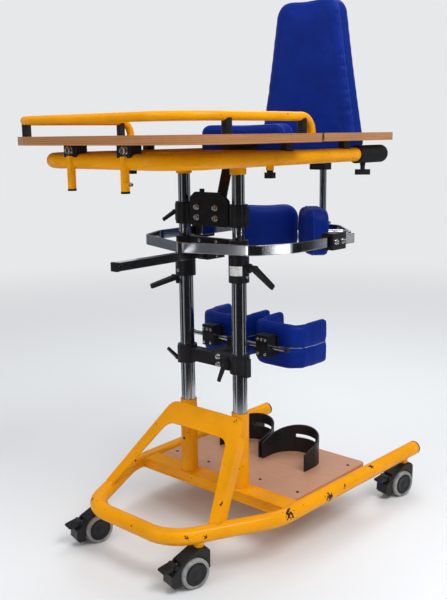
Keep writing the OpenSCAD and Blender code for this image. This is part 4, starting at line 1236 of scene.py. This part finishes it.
class STAND_OT_castor_trim(StandOperator, bpy.types.Operator):
    """Puts the hub discs and pedal ribs on the castors"""

    bl_idname = "stand.castor_trim"
    bl_label = "Castor trim"

    DISC = ((0, 1.6), (6, 1.9), (7.5, 1.2), (19, 0.8), (20.5, 1.7), (23.5, 1.7), (24.5, 0.4), (24.5, -0.6))
    DISC_OUT = 27 * MM
    RIBS = (12, 18, 24, 30)
    RIB_R = 1.1 * MM
    RIB_HALF = 11.5 * MM

    def rib_height(self, reach):
        """How far above the pin the pedal's top is at a reach from it."""
        return 6.4 - 0.23 * (reach - 8)

    def execute(self, context):
        joints = {j["name"]: j for j in frame["joints"]}
        for end in ENDS:
            roll = joints[f"roll_{end}"]
            centre = Vector(roll["pos_m"])
            axle = Vector(roll["axis"])
            bm = bmesh.new()
            for side in (-1, 1):
                place = facing(centre + axle * side * self.DISC_OUT, axle * side)
                turned(bm, self.DISC, place, 40)
            finished(bm, f"hub_discs_{end}", "moulding", f"wheels_{end}")
            pin = Vector(joints[f"brake_{end}"]["pos_m"])
            trail = Vector((axle.y, -axle.x, 0))
            bm = bmesh.new()
            for reach in self.RIBS:
                spot = pin + (trail * reach + Vector((0, 0, self.rib_height(reach)))) * MM
                swept(bm, [spot - axle * self.RIB_HALF, spot + axle * self.RIB_HALF], self.RIB_R)
            finished(bm, f"pedal_ribs_{end}", "moulding", f"pedal_{end}")
        return {"FINISHED"}


class STAND_OT_trim(StandOperator, bpy.types.Operator):
    """Adds the caps on the knee rod and the lips of the front sockets"""

    bl_idname = "stand.trim"
    bl_label = "Trim"

    MOUTH = ((7.5, 0.1), (7.7, 0.5), (9.6, 0.5), (10.0, 0.1), (10.0, -4.0), (9.5, -4.4))

    def execute(self, context):
        bm = bmesh.new()
        rod = high("knee_rod")
        centre = (low("knee_rod") + rod) / 2
        r = (rod.z - low("knee_rod").z) / 2
        cap = [(0, 4), (r - 1.2, 4), (r + 0.8, 2), (r + 0.8, -10), (r, -10)]
        for side in (-1, 1):
            turned(bm, cap, facing(at(side * rod.x, centre.y, centre.z), (side, 0, 0)), 24)
        finished(bm, "knee_rod_caps", "moulding", "knee_support")
        bm = bmesh.new()
        for side in (-1, 1):
            place = facing(at(side * SOCKET_X, SOCKET_Y, SOCKET_FOOT), (0, 0, -1))
            turned(bm, self.MOUTH, place, 32)
        finished(bm, "socket_lips", "moulding", "table")
        return {"FINISHED"}


class STAND_PT_panel(bpy.types.Panel):
    """The frame's settings and operators"""

    bl_idname = "STAND_PT_panel"
    bl_label = "Standing frame"
    bl_space_type = "VIEW_3D"
    bl_region_type = "UI"
    bl_category = "Standing frame"

    def draw(self, context):
        for settings in (context.scene.stand_colours, context.scene.stand_sizes):
            column = self.layout.column()
            for name in settings.__annotations__:
                column.prop(settings, name)
        for operator in OPERATORS:
            self.layout.operator(operator.bl_idname)


OPERATORS = (
    STAND_OT_stage, STAND_OT_finishes, STAND_OT_cushions, STAND_OT_knee_cups, STAND_OT_heel_cups,
    STAND_OT_welds, STAND_OT_screws, STAND_OT_label, STAND_OT_castor_trim, STAND_OT_trim,
)
CLASSES = (StandColours, StandSizes, *OPERATORS, STAND_PT_panel)


def register():
    for each in CLASSES:
        bpy.utils.register_class(each)
    bpy.types.Scene.stand_colours = bpy.props.PointerProperty(type=StandColours)
    bpy.types.Scene.stand_sizes = bpy.props.PointerProperty(type=StandSizes)


def unregister():
    del bpy.types.Scene.stand_sizes
    del bpy.types.Scene.stand_colours
    for each in reversed(CLASSES):
        bpy.utils.unregister_class(each)


def main():
    register()
    bpy.ops.stand.stage()
    bpy.ops.stand.finishes()
    bpy.ops.stand.cushions()
    bpy.ops.stand.knee_cups()
    bpy.ops.stand.heel_cups()
    bpy.ops.stand.welds()
    bpy.ops.stand.screws()
    bpy.ops.stand.label()
    bpy.ops.stand.castor_trim()
    bpy.ops.stand.trim()


if __name__ == "__main__":
    main()
